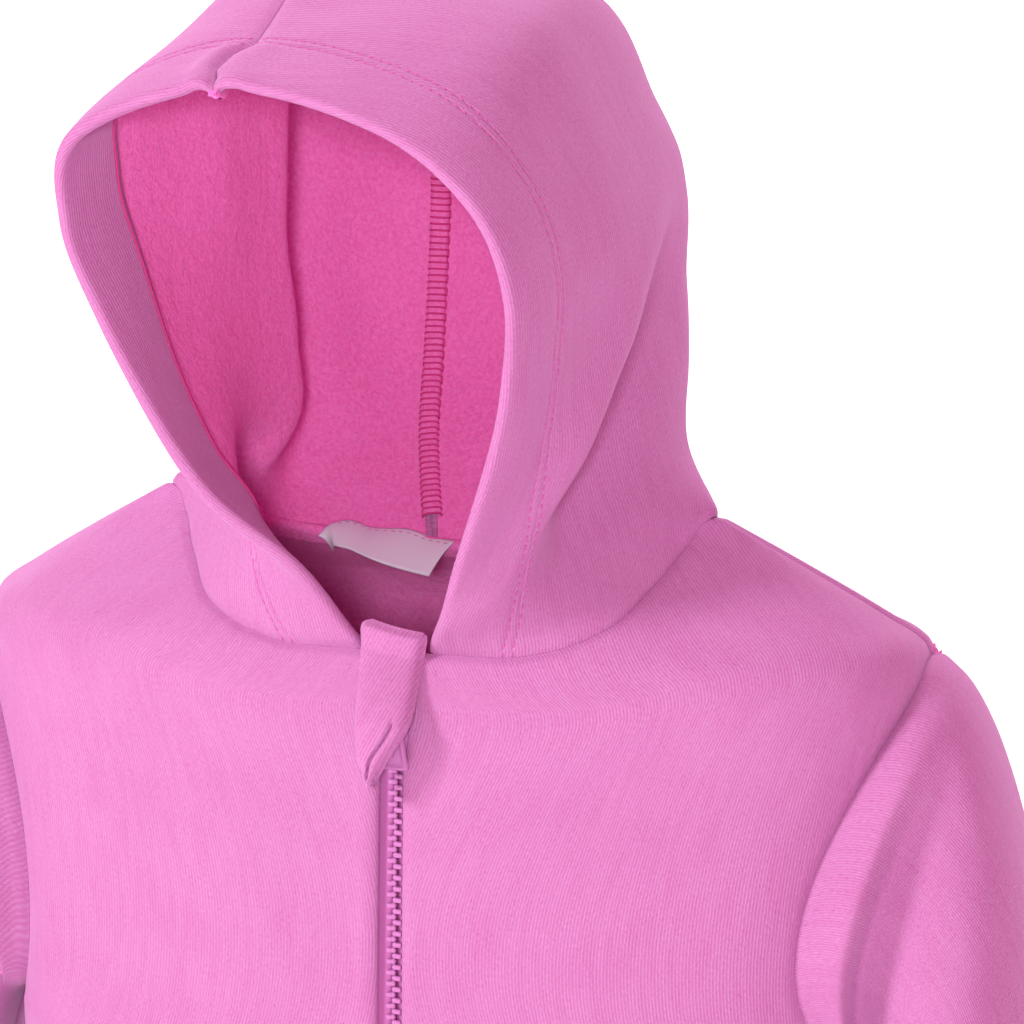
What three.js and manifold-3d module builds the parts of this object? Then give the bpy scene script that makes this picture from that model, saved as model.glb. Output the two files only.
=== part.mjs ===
// Toddler hoodie with a front zip, filled out as if worn, with nobody in it.
// Millimetres, +Z up, front towards -Y, the wearer's left towards +X.
// The origin is midway between the two neck points, where the shoulder seams end.
import * as THREE from "three";
import { mergeVertices } from "three/addons/utils/BufferGeometryUtils.js";
import Module from "manifold-3d";

const wasm = await Module();
wasm.setup();

// Driving sizes
const wall = 2.0;
const hemWall = 3.2;
const seamGap = 0.3;
const hemZ = -372;
const armpitZ = -150;
const shoulderZ = -38;
const frontNeckZ = -33;
const backNeckZ = -22;
const zipHalfGap = 3.4;
const zipX = 1.2;
const square = 0.8;
const hoodStartLeft = 10.6;
const hoodStartRight = 11;
const hoodSeamX = -13;

const rad = Math.PI / 180;
const add = (a, b) => a.map((v, i) => v + b[i]);
const sub = (a, b) => a.map((v, i) => v - b[i]);
const mul = (a, s) => a.map((v) => v * s);
const dot = (a, b) => a[0] * b[0] + a[1] * b[1] + a[2] * b[2];
const size = (a) => Math.sqrt(dot(a, a));
const unit = (a) => mul(a, 1 / (size(a) || 1));
const cross = (a, b) => [
  a[1] * b[2] - a[2] * b[1],
  a[2] * b[0] - a[0] * b[2],
  a[0] * b[1] - a[1] * b[0],
];
const mix = (a, b, t) => a.map((v, i) => v + (b[i] - v) * t);
const clamp = (v, low, high) => Math.min(high, Math.max(low, v));

// Smooth curve through a table's column, without overshoot; the first column rises.
function column(rows, k, x) {
  const n = rows.length;
  const slope = [];
  for (let i = 0; i < n - 1; i++) {
    slope.push((rows[i + 1][k] - rows[i][k]) / (rows[i + 1][0] - rows[i][0]));
  }
  const tangent = rows.map((row, i) => {
    if (i === 0) return slope[0];
    if (i === n - 1) return slope[n - 2];
    if (slope[i - 1] * slope[i] <= 0) return 0;
    const before = rows[i][0] - rows[i - 1][0];
    const after = rows[i + 1][0] - rows[i][0];
    const w1 = 2 * after + before;
    const w2 = after + 2 * before;
    return (w1 + w2) / (w1 / slope[i - 1] + w2 / slope[i]);
  });
  let i = 0;
  while (i < n - 2 && x > rows[i + 1][0]) i++;
  const h = rows[i + 1][0] - rows[i][0];
  const t = clamp((x - rows[i][0]) / h, 0, 1);
  return (
    (1 + 2 * t) * (1 - t) ** 2 * rows[i][k] +
    t * (1 - t) ** 2 * h * tangent[i] +
    t * t * (3 - 2 * t) * rows[i + 1][k] +
    t * t * (t - 1) * h * tangent[i + 1]
  );
}

// Body sections by height
// columns: z, half width, reach to the front, reach to the back, centre y
const bodyRings = [
  [-372, 124, 62, 64, 10],
  [-300, 121, 61, 64, 10],
  [-220, 120, 61, 66, 10],
  [-150, 122, 61, 68, 11],
  [-100, 127, 61, 68, 13],
  [-60, 132, 61, 62, 15],
  [-45, 133.5, 60, 55, 15],
  [-35, 131, 56, 46, 14.5],
  [-27, 120, 47, 34, 11.6],
  [-15, 101, 27, 19, 6.4],
  [-7, 88, 13, 10, 3],
  [0, 77, 4, 4, 0],
];

// Neck seam
// columns: angle from centre front, z
const neckLine = [
  [0, -33],
  [8, -33],
  [14, -31],
  [22, -26],
  [34, -16],
  [50, -7],
  [68, -1.5],
  [90, 0],
  [112, -2.5],
  [135, -9],
  [158, -18],
  [180, -22],
];

// A point of the body: share 0 at the centre line and 1 at the side, by height
function bodyPoint(share, z, side, face) {
  const width = column(bodyRings, 1, z);
  const reach = column(bodyRings, face === "front" ? 2 : 3, z);
  const centre = column(bodyRings, 4, z);
  let e = share;
  let s = side;
  if (e < 0) {
    e = -e;
    s = -side;
  }
  const angle = 90 * rad * clamp(e, 0, 1) ** 1.25;
  const x = s * width * Math.sin(angle) ** square;
  const away = reach * Math.max(0, Math.cos(angle)) ** square;
  return [x, face === "front" ? centre - away : centre + away, z];
}

const shareOfX = (x, width) => Math.abs(x) / (1.435 * width);
const neckWidthFront = column(bodyRings, 1, frontNeckZ);
const neckWidthBack = column(bodyRings, 1, backNeckZ);

function neckZ(share, face) {
  const angle = 90 * Math.abs(share) ** 1.25;
  return column(neckLine, 1, face === "front" ? angle : 180 - angle);
}

function bodyNormal(share, z, side, face) {
  const step = 0.004;
  const a = bodyPoint(Math.max(0.01, share) - step, z, side, face);
  const b = bodyPoint(Math.min(0.97, Math.max(0.01, share)) + step, z, side, face);
  const low = clamp(z, -370, -1.5);
  const c = bodyPoint(share, low - 1.2, side, face);
  const d = bodyPoint(share, low + 1.2, side, face);
  let n = unit(cross(sub(b, a), sub(d, c)));
  const middle = [0, column(bodyRings, 4, z), z - 40];
  if (dot(n, sub(bodyPoint(share, z, side, face), middle)) < 0) n = mul(n, -1);
  return n;
}

// Armhole: turn 0 at the shoulder point, 180 at the underarm. Its reach towards the
// middle in degrees round the body, and how far its deepest place lies below half way
const armReach = { frontLeft: [36.5, 1.3], frontRight: [29, 1.15], back: [25, 1.15] };

function armhole(turn, side, face) {
  const [reach, lean] = armReach[face === "back" ? "back" : side > 0 ? "frontLeft" : "frontRight"];
  const z = (shoulderZ + armpitZ) / 2 + ((shoulderZ - armpitZ) / 2) * Math.cos(turn * rad);
  const down = (turn > 180 ? 360 - turn : turn) / 180;
  const angle = 90 - reach * Math.max(0, Math.sin(Math.PI * down ** lean)) ** 0.85;
  return [(angle / 90) ** 0.8, z];
}

// Hood key sections from the neck seam up to the crown seam
// columns: x, y, z of the opening's edge, the widest place and the centre seam
const rimLeft = [
  [10.6, -41, -33],
  [21, -54, -9],
  [31, -64, 18],
  [38.5, -70, 44],
  [40.5, -73, 69],
  [31, -74, 92],
  [6, -73, 111],
  [-35.5, -69, 119],
];
const rimRight = [
  [-11, -40, -32],
  [-28, -48, -12],
  [-47, -53, 6],
  [-62, -56, 29],
  [-75, -59, 56],
  [-83, -62, 82],
  [-77, -66, 105],
  [-35.5, -69, 119],
];
const sideLeft = [
  [77, 4, 0],
  [63, 22, 13],
  [61.5, 28, 34],
  [61.5, 28, 56],
  [62, 24, 79],
  [53, 20, 104],
  [34, 12, 136],
  [-30, 0, 152],
];
const sideRight = [
  [-77, 4, 0],
  [-62, 12, 16],
  [-63, 12, 36],
  [-68, 8, 58],
  [-70, 1, 80],
  [-72, -5, 103],
  [-68, -18, 123],
  [-30, 0, 152],
];
const centreSeam = [
  [-13, 33, -20],
  [-20, 56, 2],
  [-23, 71, 24],
  [-24, 79, 48],
  [-24, 82, 72],
  [-24, 80, 96],
  [-25, 74, 118],
  [-26, 60, 136],
];
const crown = rimLeft.length - 1;
const rimArc = 58;

// The hood's neck edge as share and face of the body
function hoodFoot(u, side) {
  const start = shareOfX(side > 0 ? hoodStartLeft : hoodStartRight, neckWidthFront);
  if (u <= 0.5) return [start + (1 - start) * (u / 0.5), "front"];
  const end = shareOfX(hoodSeamX, neckWidthBack) * (side > 0 ? -1 : 1);
  return [1 + (end - 1) * ((u - 0.5) / 0.5), "back"];
}

function hoodKey(k, u, side) {
  if (k === 0) {
    const [share, face] = hoodFoot(u, side);
    return bodyPoint(share, neckZ(share, face), side, face);
  }
  const rim = (side > 0 ? rimLeft : rimRight)[k];
  const wide = (side > 0 ? sideLeft : sideRight)[k];
  const seam = centreSeam[k];
  if (u < 0.5) {
    const turn = rimArc * rad * ((0.5 - u) / 0.5);
    const gx = (1 - Math.cos(turn)) / (1 - Math.cos(rimArc * rad));
    const gy = Math.sin(turn) / Math.sin(rimArc * rad);
    const gz = gy ** (k < crown ? 2 : 1.1);
    return [
      wide[0] + (rim[0] - wide[0]) * gx,
      wide[1] + (rim[1] - wide[1]) * gy,
      wide[2] + (rim[2] - wide[2]) * gz,
    ];
  }
  const turn = 90 * rad * ((u - 0.5) / 0.5);
  const gz = k < crown ? Math.sin(turn) ** 2 : 1 - Math.cos(turn);
  return [
    seam[0] + (wide[0] - seam[0]) * Math.max(0, Math.cos(turn)) ** 0.9,
    wide[1] + (seam[1] - wide[1]) * Math.sin(turn),
    wide[2] + (seam[2] - wide[2]) * gz,
  ];
}

const hill = (x, centre, spread) => Math.exp(-(((x - centre) / spread) ** 2));

function hoodPlain(u, t, side) {
  const i = clamp(Math.floor(t), 0, crown - 1);
  const f = t - i;
  const p1 = hoodKey(i, u, side);
  const p2 = hoodKey(i + 1, u, side);
  const p0 = i > 0 ? hoodKey(i - 1, u, side) : sub(mul(p1, 2), p2);
  const p3 = i + 2 <= crown ? hoodKey(i + 2, u, side) : hoodKey(crown - 1, u, -side);
  return p1.map(
    (v, k) =>
      0.5 *
      (2 * v +
        (p2[k] - p0[k]) * f +
        (2 * p0[k] - 5 * v + 4 * p2[k] - p3[k]) * f * f +
        (3 * v - p0[k] - 3 * p2[k] + p3[k]) * f ** 3),
  );
}

function hoodNormal(u, t, side) {
  const h = 0.01;
  const u0 = clamp(u, 0.02, 0.98);
  const t0 = clamp(t, 0.15, crown - 0.05);
  const du = sub(hoodPlain(u0 + h, t0, side), hoodPlain(u0 - h, t0, side));
  const dt = sub(hoodPlain(u0, t0 + h, side), hoodPlain(u0, t0 - h, side));
  return mul(unit(cross(du, dt)), side);
}

// The upright pleat in the wearer's right panel and the slack valley in the left one
// columns: section height, share of its deepest line, depth
const pleatLine = [
  [0, 0.78, 0],
  [0.5, 0.7, 8],
  [1, 0.645, 7.5],
  [1.5, 0.62, 7.5],
  [2, 0.61, 9],
  [3, 0.605, 12.5],
  [4, 0.615, 14.5],
  [5, 0.64, 15.5],
  [5.6, 0.655, 13],
  [6.2, 0.665, 8],
  [6.7, 0.67, 2.5],
  [7, 0.67, 0],
];
const valleyLine = [
  [0, 0.085, 0],
  [0.5, 0.13, 4],
  [1, 0.195, 7],
  [1.5, 0.24, 9],
  [2, 0.28, 9.5],
  [2.5, 0.33, 8],
  [3, 0.39, 6],
  [3.5, 0.43, 3.5],
  [4, 0.47, 1.5],
  [4.6, 0.5, 0],
  [7, 0.5, 0],
];

// Push along the hood's normal: each fold is steep on one flank and easy on the other
function hoodFold(u, t, side) {
  const table = side < 0 ? pleatLine : valleyLine;
  const line = column(table, 1, t);
  const depth = column(table, 2, t);
  const before = Math.max(0, line - u);
  const after = Math.max(0, u - line);
  if (side < 0) {
    const flank = u < line ? Math.exp(-((before / 0.2) ** 1.4)) : Math.exp(-((after / 0.055) ** 1.6));
    return depth * (0.6 * hill(u, line + 0.105, 0.05) - flank);
  }
  const flank = Math.exp(-((before / 0.05) ** 2) - (after / 0.13) ** 2);
  return depth * (0.25 * hill(u, line - 0.1, 0.045) - flank);
}

function hoodPoint(u, t, side) {
  return add(hoodPlain(u, t, side), mul(hoodNormal(u, t, side), hoodFold(u, t, side)));
}

// Sleeve rings from the armhole to the hem
// columns: inner x, inner z, outer x, outer z, half depth, centre y, share of the
// ring's own oval, fold pushed out at the front
const sleeveRings = [
  [127, -150, 133, -38, 46, 13, 0, 0],
  [128, -152, 139.5, -42, 45, 13, 0.14, 0],
  [128.6, -154, 145, -48, 44, 13, 0.3, 0],
  [129.2, -157, 150, -55, 44, 14, 0.48, 0],
  [130.2, -162, 155.5, -70, 44, 14, 0.74, 0],
  [132, -170, 160, -92, 44, 14, 0.92, 0.8],
  [134, -180, 165, -125, 44, 14, 1, 0],
  [137, -195, 170, -160, 43, 13, 1, -1.5],
  [140, -210, 174, -184, 41.5, 12, 1, 1.5],
  [144, -232, 179, -214, 39, 10, 1, 0],
  [148, -256, 183, -242, 36.5, 8, 1, -1.5],
  [152, -278, 187, -267, 34, 7, 1, 1.2],
  [157, -304, 191, -295, 31.5, 5, 1, 0],
  [161, -322, 195, -314, 30, 3, 1, 0],
  [163, -343, 198, -335, 29.5, 2, 1, 0],
];
const sleeveEnd = sleeveRings.length - 1;
const sleeveSteps = [0, 0.7, 1.4, 2, 2.5, 2.9, 3.3, 3.75, 4.3, 5, 6, 7, 8, 9, 10, 11, 12, 13, 14];

// A sleeve ring at any place between the table's rings
function sleeveRow(k) {
  const i = clamp(Math.floor(k), 0, sleeveEnd - 1);
  const f = k - i;
  const p1 = sleeveRings[i];
  const p2 = sleeveRings[i + 1];
  const p0 = i > 0 ? sleeveRings[i - 1] : sub(mul(p1, 2), p2);
  const p3 = i + 2 <= sleeveEnd ? sleeveRings[i + 2] : sub(mul(p2, 2), p1);
  return p1.map(
    (v, n) =>
      0.5 *
      (2 * v +
        (p2[n] - p0[n]) * f +
        (2 * p0[n] - 5 * v + 4 * p2[n] - p3[n]) * f * f +
        (3 * v - p0[n] - 3 * p2[n] + p3[n]) * f ** 3),
  );
}

// The roll that stands beside the armhole seam at the front and the valley beyond it
const rollShare = [
  [0, 0],
  [25, 0.05],
  [50, 0.5],
  [75, 0.9],
  [105, 1.05],
  [124, 0.9],
  [140, 0.45],
  [156, 0],
  [360, 0],
];

function sleeveRoll(k, turn) {
  const before = Math.max(0, 3.55 - k);
  const after = Math.max(0, k - 3.55);
  const valley = 6.5 * Math.exp(-((before / 0.6) ** 2) - (after / 1) ** 2);
  return column(rollShare, 1, turn) * (2.4 * hill(k, 2.1, 0.8) - valley);
}

function sleevePoint(k, turn, side) {
  const [ix, iz, ox, oz, depth, cy, ownShare, fold] = sleeveRow(k);
  const own = clamp(ownShare, 0, 1);
  const face = turn > 180 ? "back" : "front";
  const [share, z] = armhole(turn, side, face);
  const seam = bodyPoint(share, z, 1, face);
  const q = turn * rad;
  const oval = [
    (ix + ox) / 2 + ((ox - ix) / 2) * Math.cos(q),
    cy - depth * Math.sin(q),
    (iz + oz) / 2 + ((oz - iz) / 2) * Math.cos(q),
  ];
  const carried = add(seam, [ix - 127, 0, 0]);
  const p = mix(carried, oval, own);
  const push = fold * Math.max(0, Math.sin(q)) ** 1.5 + sleeveRoll(k, turn);
  p[1] -= push;
  p[0] += push * 0.5;
  return [side * p[0], p[1], p[2]];
}

function finish(positions, faces) {
  let volume = 0;
  for (const [a, b, c] of faces) {
    volume += dot(positions[a], cross(positions[b], positions[c]));
  }
  const order = volume < 0 ? faces.map(([a, b, c]) => [a, c, b]) : faces;
  const geometry = new THREE.BufferGeometry();
  geometry.setAttribute("position", new THREE.Float32BufferAttribute(positions.flat(), 3));
  geometry.setIndex(order.flat());
  return geometry;
}

// A sheet with thickness over a grid of outer points; closed joins the last column
// to the first. normals point out of the garment.
function shell(points, normals, thick, closed = false) {
  const rows = points.length;
  const columns = points[0].length;
  const positions = [];
  for (const row of points) positions.push(...row);
  for (let i = 0; i < rows; i++) {
    for (let j = 0; j < columns; j++) {
      positions.push(sub(points[i][j], mul(normals[i][j], thick(i, j))));
    }
  }
  const outer = (i, j) => i * columns + (j % columns);
  const inner = (i, j) => rows * columns + i * columns + (j % columns);
  const faces = [];
  const quad = (a, b, c, d) => faces.push([a, b, c], [a, c, d]);
  const last = closed ? columns : columns - 1;
  for (let i = 0; i < rows - 1; i++) {
    for (let j = 0; j < last; j++) {
      quad(outer(i, j), outer(i, j + 1), outer(i + 1, j + 1), outer(i + 1, j));
      quad(inner(i, j + 1), inner(i, j), inner(i + 1, j), inner(i + 1, j + 1));
    }
  }
  for (let j = 0; j < last; j++) {
    quad(outer(0, j + 1), outer(0, j), inner(0, j), inner(0, j + 1));
    const r = rows - 1;
    quad(outer(r, j), outer(r, j + 1), inner(r, j + 1), inner(r, j));
  }
  if (!closed) {
    for (let i = 0; i < rows - 1; i++) {
      quad(outer(i, 0), outer(i + 1, 0), inner(i + 1, 0), inner(i, 0));
      const c = columns - 1;
      quad(outer(i + 1, c), outer(i, c), inner(i, c), inner(i + 1, c));
    }
  }
  return finish(positions, faces);
}

// Moves an edge half the seam gap into its own piece, square to the seam's normal
function inset(points, normals, edges, closed = false) {
  const rows = points.length;
  const columns = points[0].length;
  const moved = points.map((row) => row.map((p) => p.slice()));
  const shift = (i, j, ni, nj) => {
    const towards = sub(points[ni][nj], points[i][j]);
    const n = unit(normals[i][j]);
    const flat = unit(sub(towards, mul(n, dot(towards, n))));
    moved[i][j] = add(moved[i][j], mul(flat, seamGap / 2 + 0.06));
  };
  for (let j = 0; j < columns; j++) {
    if (edges.includes("first")) shift(0, j, 1, j);
    if (edges.includes("last")) shift(rows - 1, j, rows - 2, j);
  }
  if (!closed) {
    for (let i = 0; i < rows; i++) {
      if (edges.includes("start")) shift(i, 0, i, 1);
      if (edges.includes("end")) shift(i, columns - 1, i, columns - 2);
    }
  }
  return moved;
}

// The shared direction of two walls that meet, made longer where they meet at an angle
function mitre(a, b) {
  const half = unit(add(a, b));
  return mul(half, 1 / Math.max(0.72, dot(half, a)));
}

// Row heights below the armhole, at the centre front and the armhole's steps
const sideRows = [hemZ, -351, -347, -325, -300, -272, -245, -220, -196, -172, armpitZ];
const armSteps = 12;
const shoulderSteps = 4;
const rowCount = sideRows.length + armSteps + shoulderSteps;

function sideEdge(row, side, face) {
  if (row < sideRows.length) return [1, sideRows[row]];
  const arm = row - sideRows.length + 1;
  if (arm <= armSteps) return armhole(180 - (180 * arm) / armSteps, side, face);
  return [1, shoulderZ * (1 - (arm - armSteps) / shoulderSteps)];
}

function centreHeight(row, top) {
  if (row < sideRows.length) return sideRows[row];
  const arm = row - sideRows.length + 1;
  const middle = top - 14;
  if (arm <= armSteps) return armpitZ + ((middle - armpitZ) * arm) / armSteps;
  return middle + 14 * ((arm - armSteps) / shoulderSteps);
}

const hoodFrontSteps = 11;
const hoodBackSteps = 13;
const hoodShares = [];
for (let k = 0; k <= hoodFrontSteps; k++) hoodShares.push((0.5 * k) / hoodFrontSteps);
for (let k = 1; k <= hoodBackSteps; k++) hoodShares.push(0.5 + (0.5 * k) / hoodBackSteps);

// Wall directions at a place on the neck seam, shared by body and hood
function neckDirection(u, side) {
  const [share, face] = hoodFoot(u, side);
  const z = neckZ(share, face);
  const s = share < 0 ? -side : side;
  const body = bodyNormal(Math.abs(share), z, s, face);
  return mitre(body, hoodNormal(clamp(u, 0.02, 0.98), 0.3, side));
}

function armDirection(turn, side) {
  const face = turn > 180 ? "back" : "front";
  const [share, z] = armhole(turn, side, face);
  const body = bodyNormal(share, z, side, face);
  const out = sub(sleevePoint(2, turn, side), sleevePoint(0, turn, side));
  const next = sleevePoint(1, turn + 4 > 360 ? turn - 356 : turn + 4, side);
  const last = sleevePoint(1, turn < 4 ? turn + 356 : turn - 4, side);
  let sleeve = unit(cross(sub(next, last), out));
  const middle = [side * 146, 13, -104];
  if (dot(sleeve, sub(sleevePoint(1, turn, side), middle)) < 0) sleeve = mul(sleeve, -1);
  return mitre(body, sleeve);
}

// A body grid between the centre edge and the side edge, row by row
function bodyGrid(side, face, shares, centreShare) {
  const top = face === "front" ? frontNeckZ : backNeckZ;
  const points = [];
  const normals = [];
  for (let i = 0; i < rowCount; i++) {
    const v = i / (rowCount - 1);
    const [edgeShare, edgeZ] = sideEdge(i, side, face);
    const startZ = centreHeight(i, top);
    const rowPoints = [];
    const rowNormals = [];
    for (const f of shares) {
      const topShare = f;
      const topZ = neckZ(topShare, face);
      const g = Math.abs(f);
      const plainZ = startZ + (edgeZ - startZ) * g;
      const cornerZ = top + (0 - top) * g;
      const rise = clamp((i - sideRows.length) / (rowCount - 1 - sideRows.length), 0, 1);
      const z = plainZ + rise ** 1.6 * (topZ - cornerZ);
      const first = centreShare(z);
      const low = Math.max(g, first);
      const share = g === 0 || low <= first ? first : low * (1 + (edgeShare - 1) * low);
      const s = f < 0 ? -side : side;
      rowPoints.push(bodyPoint(share, z, s, face));
      rowNormals.push(bodyNormal(share, z, s, face));
    }
    points.push(rowPoints);
    normals.push(rowNormals);
  }
  return { points, normals };
}

const isHem = (i) => i < 2;

function frontPanel(side) {
  const start = shareOfX(side > 0 ? hoodStartLeft : hoodStartRight, neckWidthFront);
  const shares = [0];
  for (let k = 0; k <= hoodFrontSteps; k++) shares.push(start + ((1 - start) * k) / hoodFrontSteps);
  const edge = (z) => shareOfX(zipHalfGap, column(bodyRings, 1, z));
  const { points, normals } = bodyGrid(side, "front", shares, edge);
  const last = shares.length - 1;
  for (let arm = 0; arm <= armSteps; arm++) {
    const row = sideRows.length - 1 + arm;
    normals[row][last] = armDirection(180 - (180 * arm) / armSteps, side);
  }
  for (let j = 1; j <= last; j++) {
    normals[rowCount - 1][j] = neckDirection(hoodShares[j - 1], side);
  }
  const moved = inset(points, normals, ["end", "last"]);
  return shell(moved, normals, (i, j) => (isHem(i) && j > 2 ? hemWall : wall));
}

function backPanel() {
  const lefts = [];
  const rights = [];
  for (let k = 0; k <= hoodBackSteps; k++) {
    const u = 0.5 + (0.5 * k) / hoodBackSteps;
    lefts.push({ share: hoodFoot(u, 1)[0], u, side: 1 });
    rights.push({ share: -hoodFoot(u, -1)[0], u, side: -1 });
  }
  const stations = [...lefts, ...rights.reverse().slice(1)];
  const grids = {};
  for (const side of [1, -1]) {
    const shares = stations.map((s) => (side > 0 ? s.share : -s.share));
    grids[side] = bodyGrid(side, "back", shares, () => 0);
  }
  const pick = (what) =>
    grids[1][what].map((row, i) => row.map((p, j) => (stations[j].share >= 0 ? p : grids[-1][what][i][j])));
  const points = pick("points");
  const normals = pick("normals");
  const last = stations.length - 1;
  for (let arm = 0; arm <= armSteps; arm++) {
    const row = sideRows.length - 1 + arm;
    const turn = (180 + (180 * arm) / armSteps) % 360;
    normals[row][0] = armDirection(turn, 1);
    normals[row][last] = armDirection(turn, -1);
  }
  stations.forEach((s, j) => {
    normals[rowCount - 1][j] = neckDirection(s.u, s.side);
  });
  const moved = inset(points, normals, ["start", "end", "last"]);
  return shell(moved, normals, (i) => (isHem(i) ? hemWall : wall));
}

function gridNormals(points, closed, outward) {
  const rows = points.length;
  const columns = points[0].length;
  const wrap = (j) => (closed ? (j + columns) % columns : clamp(j, 0, columns - 1));
  return points.map((row, i) =>
    row.map((p, j) => {
      const up = points[Math.min(rows - 1, i + 1)][j];
      const down = points[Math.max(0, i - 1)][j];
      const n = unit(cross(sub(points[i][wrap(j + 1)], points[i][wrap(j - 1)]), sub(up, down)));
      return dot(n, outward(p, i)) < 0 ? mul(n, -1) : n;
    }),
  );
}

function sleeve(side) {
  const turns = [];
  for (let k = 0; k < armSteps * 2; k++) turns.push((180 * k) / armSteps);
  const points = sleeveSteps.map((k) => turns.map((turn) => sleevePoint(k, turn, side)));
  const outward = (p, i) => {
    const [ix, iz, ox, oz, depth, cy] = sleeveRow(sleeveSteps[i]);
    return sub(p, [(side * (ix + ox)) / 2, cy, (iz + oz) / 2]);
  };
  const normals = gridNormals(points, true, outward);
  turns.forEach((turn, j) => {
    normals[0][j] = armDirection(turn, side);
  });
  const moved = inset(points, normals, ["first"], true);
  const last = sleeveSteps.length - 1;
  return shell(moved, normals, (i) => (i > last - 2 ? hemWall : wall), true);
}

const hoodRows = [0, 0.3, 0.7, 1.1, 1.6, 2.1, 2.6, 3.1, 3.6, 4.1, 4.6, 5.1, 5.55, 5.95, 6.3, 6.6, 6.82, 7];
const rimShares = [0, 0.035, 0.1];

function hoodPanel(side) {
  const shares = hoodShares;
  const points = hoodRows.map((t) => shares.map((u) => hoodPoint(u, t, side)));
  const normals = hoodRows.map((t) =>
    shares.map((u) => {
      const h = 0.012;
      const u0 = clamp(u, h, 1 - h);
      const t0 = clamp(t, 0.05, crown - 0.05);
      const du = sub(hoodPoint(u0 + h, t0, side), hoodPoint(u0 - h, t0, side));
      const dt = sub(hoodPoint(u0, t0 + 0.04, side), hoodPoint(u0, t0 - 0.04, side));
      return mul(unit(cross(du, dt)), side);
    }),
  );
  const top = hoodRows.length - 1;
  const last = shares.length - 1;
  shares.forEach((u, j) => {
    points[0][j] = hoodPlain(u, 0, side);
    normals[0][j] = neckDirection(u, side);
    const other = hoodNormal(u, crown, -side);
    normals[top][j] = mitre(hoodNormal(u, crown, side), other);
  });
  hoodRows.forEach((t, i) => {
    if (i === 0) return;
    const mine = hoodNormal(1, t, side);
    normals[i][last] = mitre(mine, hoodNormal(1, t, -side));
  });
  const moved = inset(points, normals, ["first", "last", "end"]);
  return shell(moved, normals, (i, j) => (j < 1 && i > 0 && i < top - 1 ? hemWall : wall));
}

const mid = (a, b) => mul(add(a, b), 0.5);

// Front surface of the body at the zip, by height
const frontY = (x, z) => {
  const width = column(bodyRings, 1, z);
  const share = shareOfX(x, width);
  return bodyPoint(share, z, 1, "front")[1];
};

// Sweeps a closed outline, given at each height, down a list of heights
function sweep(heights, outline) {
  const loops = heights.map(outline);
  const count = loops[0].length;
  const positions = loops.flat();
  const faces = [];
  for (let i = 0; i < heights.length - 1; i++) {
    for (let j = 0; j < count; j++) {
      const k = (j + 1) % count;
      const a = i * count + j;
      const b = i * count + k;
      faces.push([a, b, b + count], [a, b + count, a + count]);
    }
  }
  const cap = THREE.ShapeUtils.triangulateShape(
    loops[0].map((p) => new THREE.Vector2(Math.abs(p[0] - zipX), p[1])),
    [],
  );
  const base = (heights.length - 1) * count;
  for (const [a, b, c] of cap) {
    faces.push([c, b, a], [base + a, base + b, base + c]);
  }
  return finish(positions, faces);
}

const sliderTop = -51;
const sliderBottom = -62;

function zipTape(side) {
  const heights = [-37, -42, -49, -50.5, -62.6, -64.1];
  for (let z = -84; z > hemZ + 4; z -= 24) heights.push(z);
  heights.push(hemZ + 1.5);
  return sweep(heights, (z) => {
    const open = z > sliderBottom - 1;
    const inner = open ? 1.5 : 0.16;
    const railFront = open ? 2.45 : 0.5;
    const back = 3.3;
    const at = (x, depth) => [zipX + side * x, frontY(Math.max(x, 0), z) + depth, z];
    return [
      at(inner, railFront),
      at(1.95, railFront),
      at(2.0, 2.45),
      at(7, 2.45),
      at(12, 2.45),
      at(12, back),
      at(7, back),
      at(inner, back),
    ];
  });
}

function toSolid(geometry) {
  const bare = geometry.index ? geometry.toNonIndexed() : geometry.clone();
  bare.deleteAttribute("normal");
  bare.deleteAttribute("uv");
  const merged = mergeVertices(bare, 1e-4);
  return new wasm.Manifold(
    new wasm.Mesh({
      numProp: 3,
      vertProperties: new Float32Array(merged.attributes.position.array),
      triVerts: new Uint32Array(merged.index.array),
    }),
  );
}

function fromSolid(solid) {
  const mesh = solid.getMesh();
  const geometry = new THREE.BufferGeometry();
  const positions = [];
  for (let i = 0; i < mesh.vertProperties.length; i += mesh.numProp) {
    positions.push(mesh.vertProperties[i], mesh.vertProperties[i + 1], mesh.vertProperties[i + 2]);
  }
  geometry.setAttribute("position", new THREE.Float32BufferAttribute(positions, 3));
  geometry.setIndex(Array.from(mesh.triVerts));
  return geometry;
}

function box(x0, x1, y0, y1, z0, z1) {
  const geometry = new THREE.BoxGeometry(x1 - x0, y1 - y0, z1 - z0);
  geometry.translate((x0 + x1) / 2, (y0 + y1) / 2, (z0 + z1) / 2);
  return geometry;
}

// Outline of the slider's plates, wide at the top and narrow at the bottom
function plate(scale, y0, y1) {
  const shape = new THREE.Shape();
  const half = 4.3 * scale;
  shape.moveTo(-half * 0.75, sliderBottom);
  shape.lineTo(half * 0.75, sliderBottom);
  shape.lineTo(half * 0.8, sliderBottom + 4);
  shape.lineTo(half, sliderBottom + 7.5);
  shape.lineTo(half * 0.75, sliderTop);
  shape.lineTo(-half * 0.75, sliderTop);
  shape.lineTo(-half, sliderBottom + 7.5);
  shape.lineTo(-half * 0.8, sliderBottom + 4);
  shape.closePath();
  const geometry = new THREE.ExtrudeGeometry(shape, { depth: y1 - y0, bevelEnabled: false });
  geometry.rotateX(Math.PI / 2);
  geometry.translate(0, y1, 0);
  return geometry;
}

const sliderY = frontY(0, (sliderTop + sliderBottom) / 2);
const hinge = [zipX, sliderY - 3.6, sliderTop - 3.0];

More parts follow.
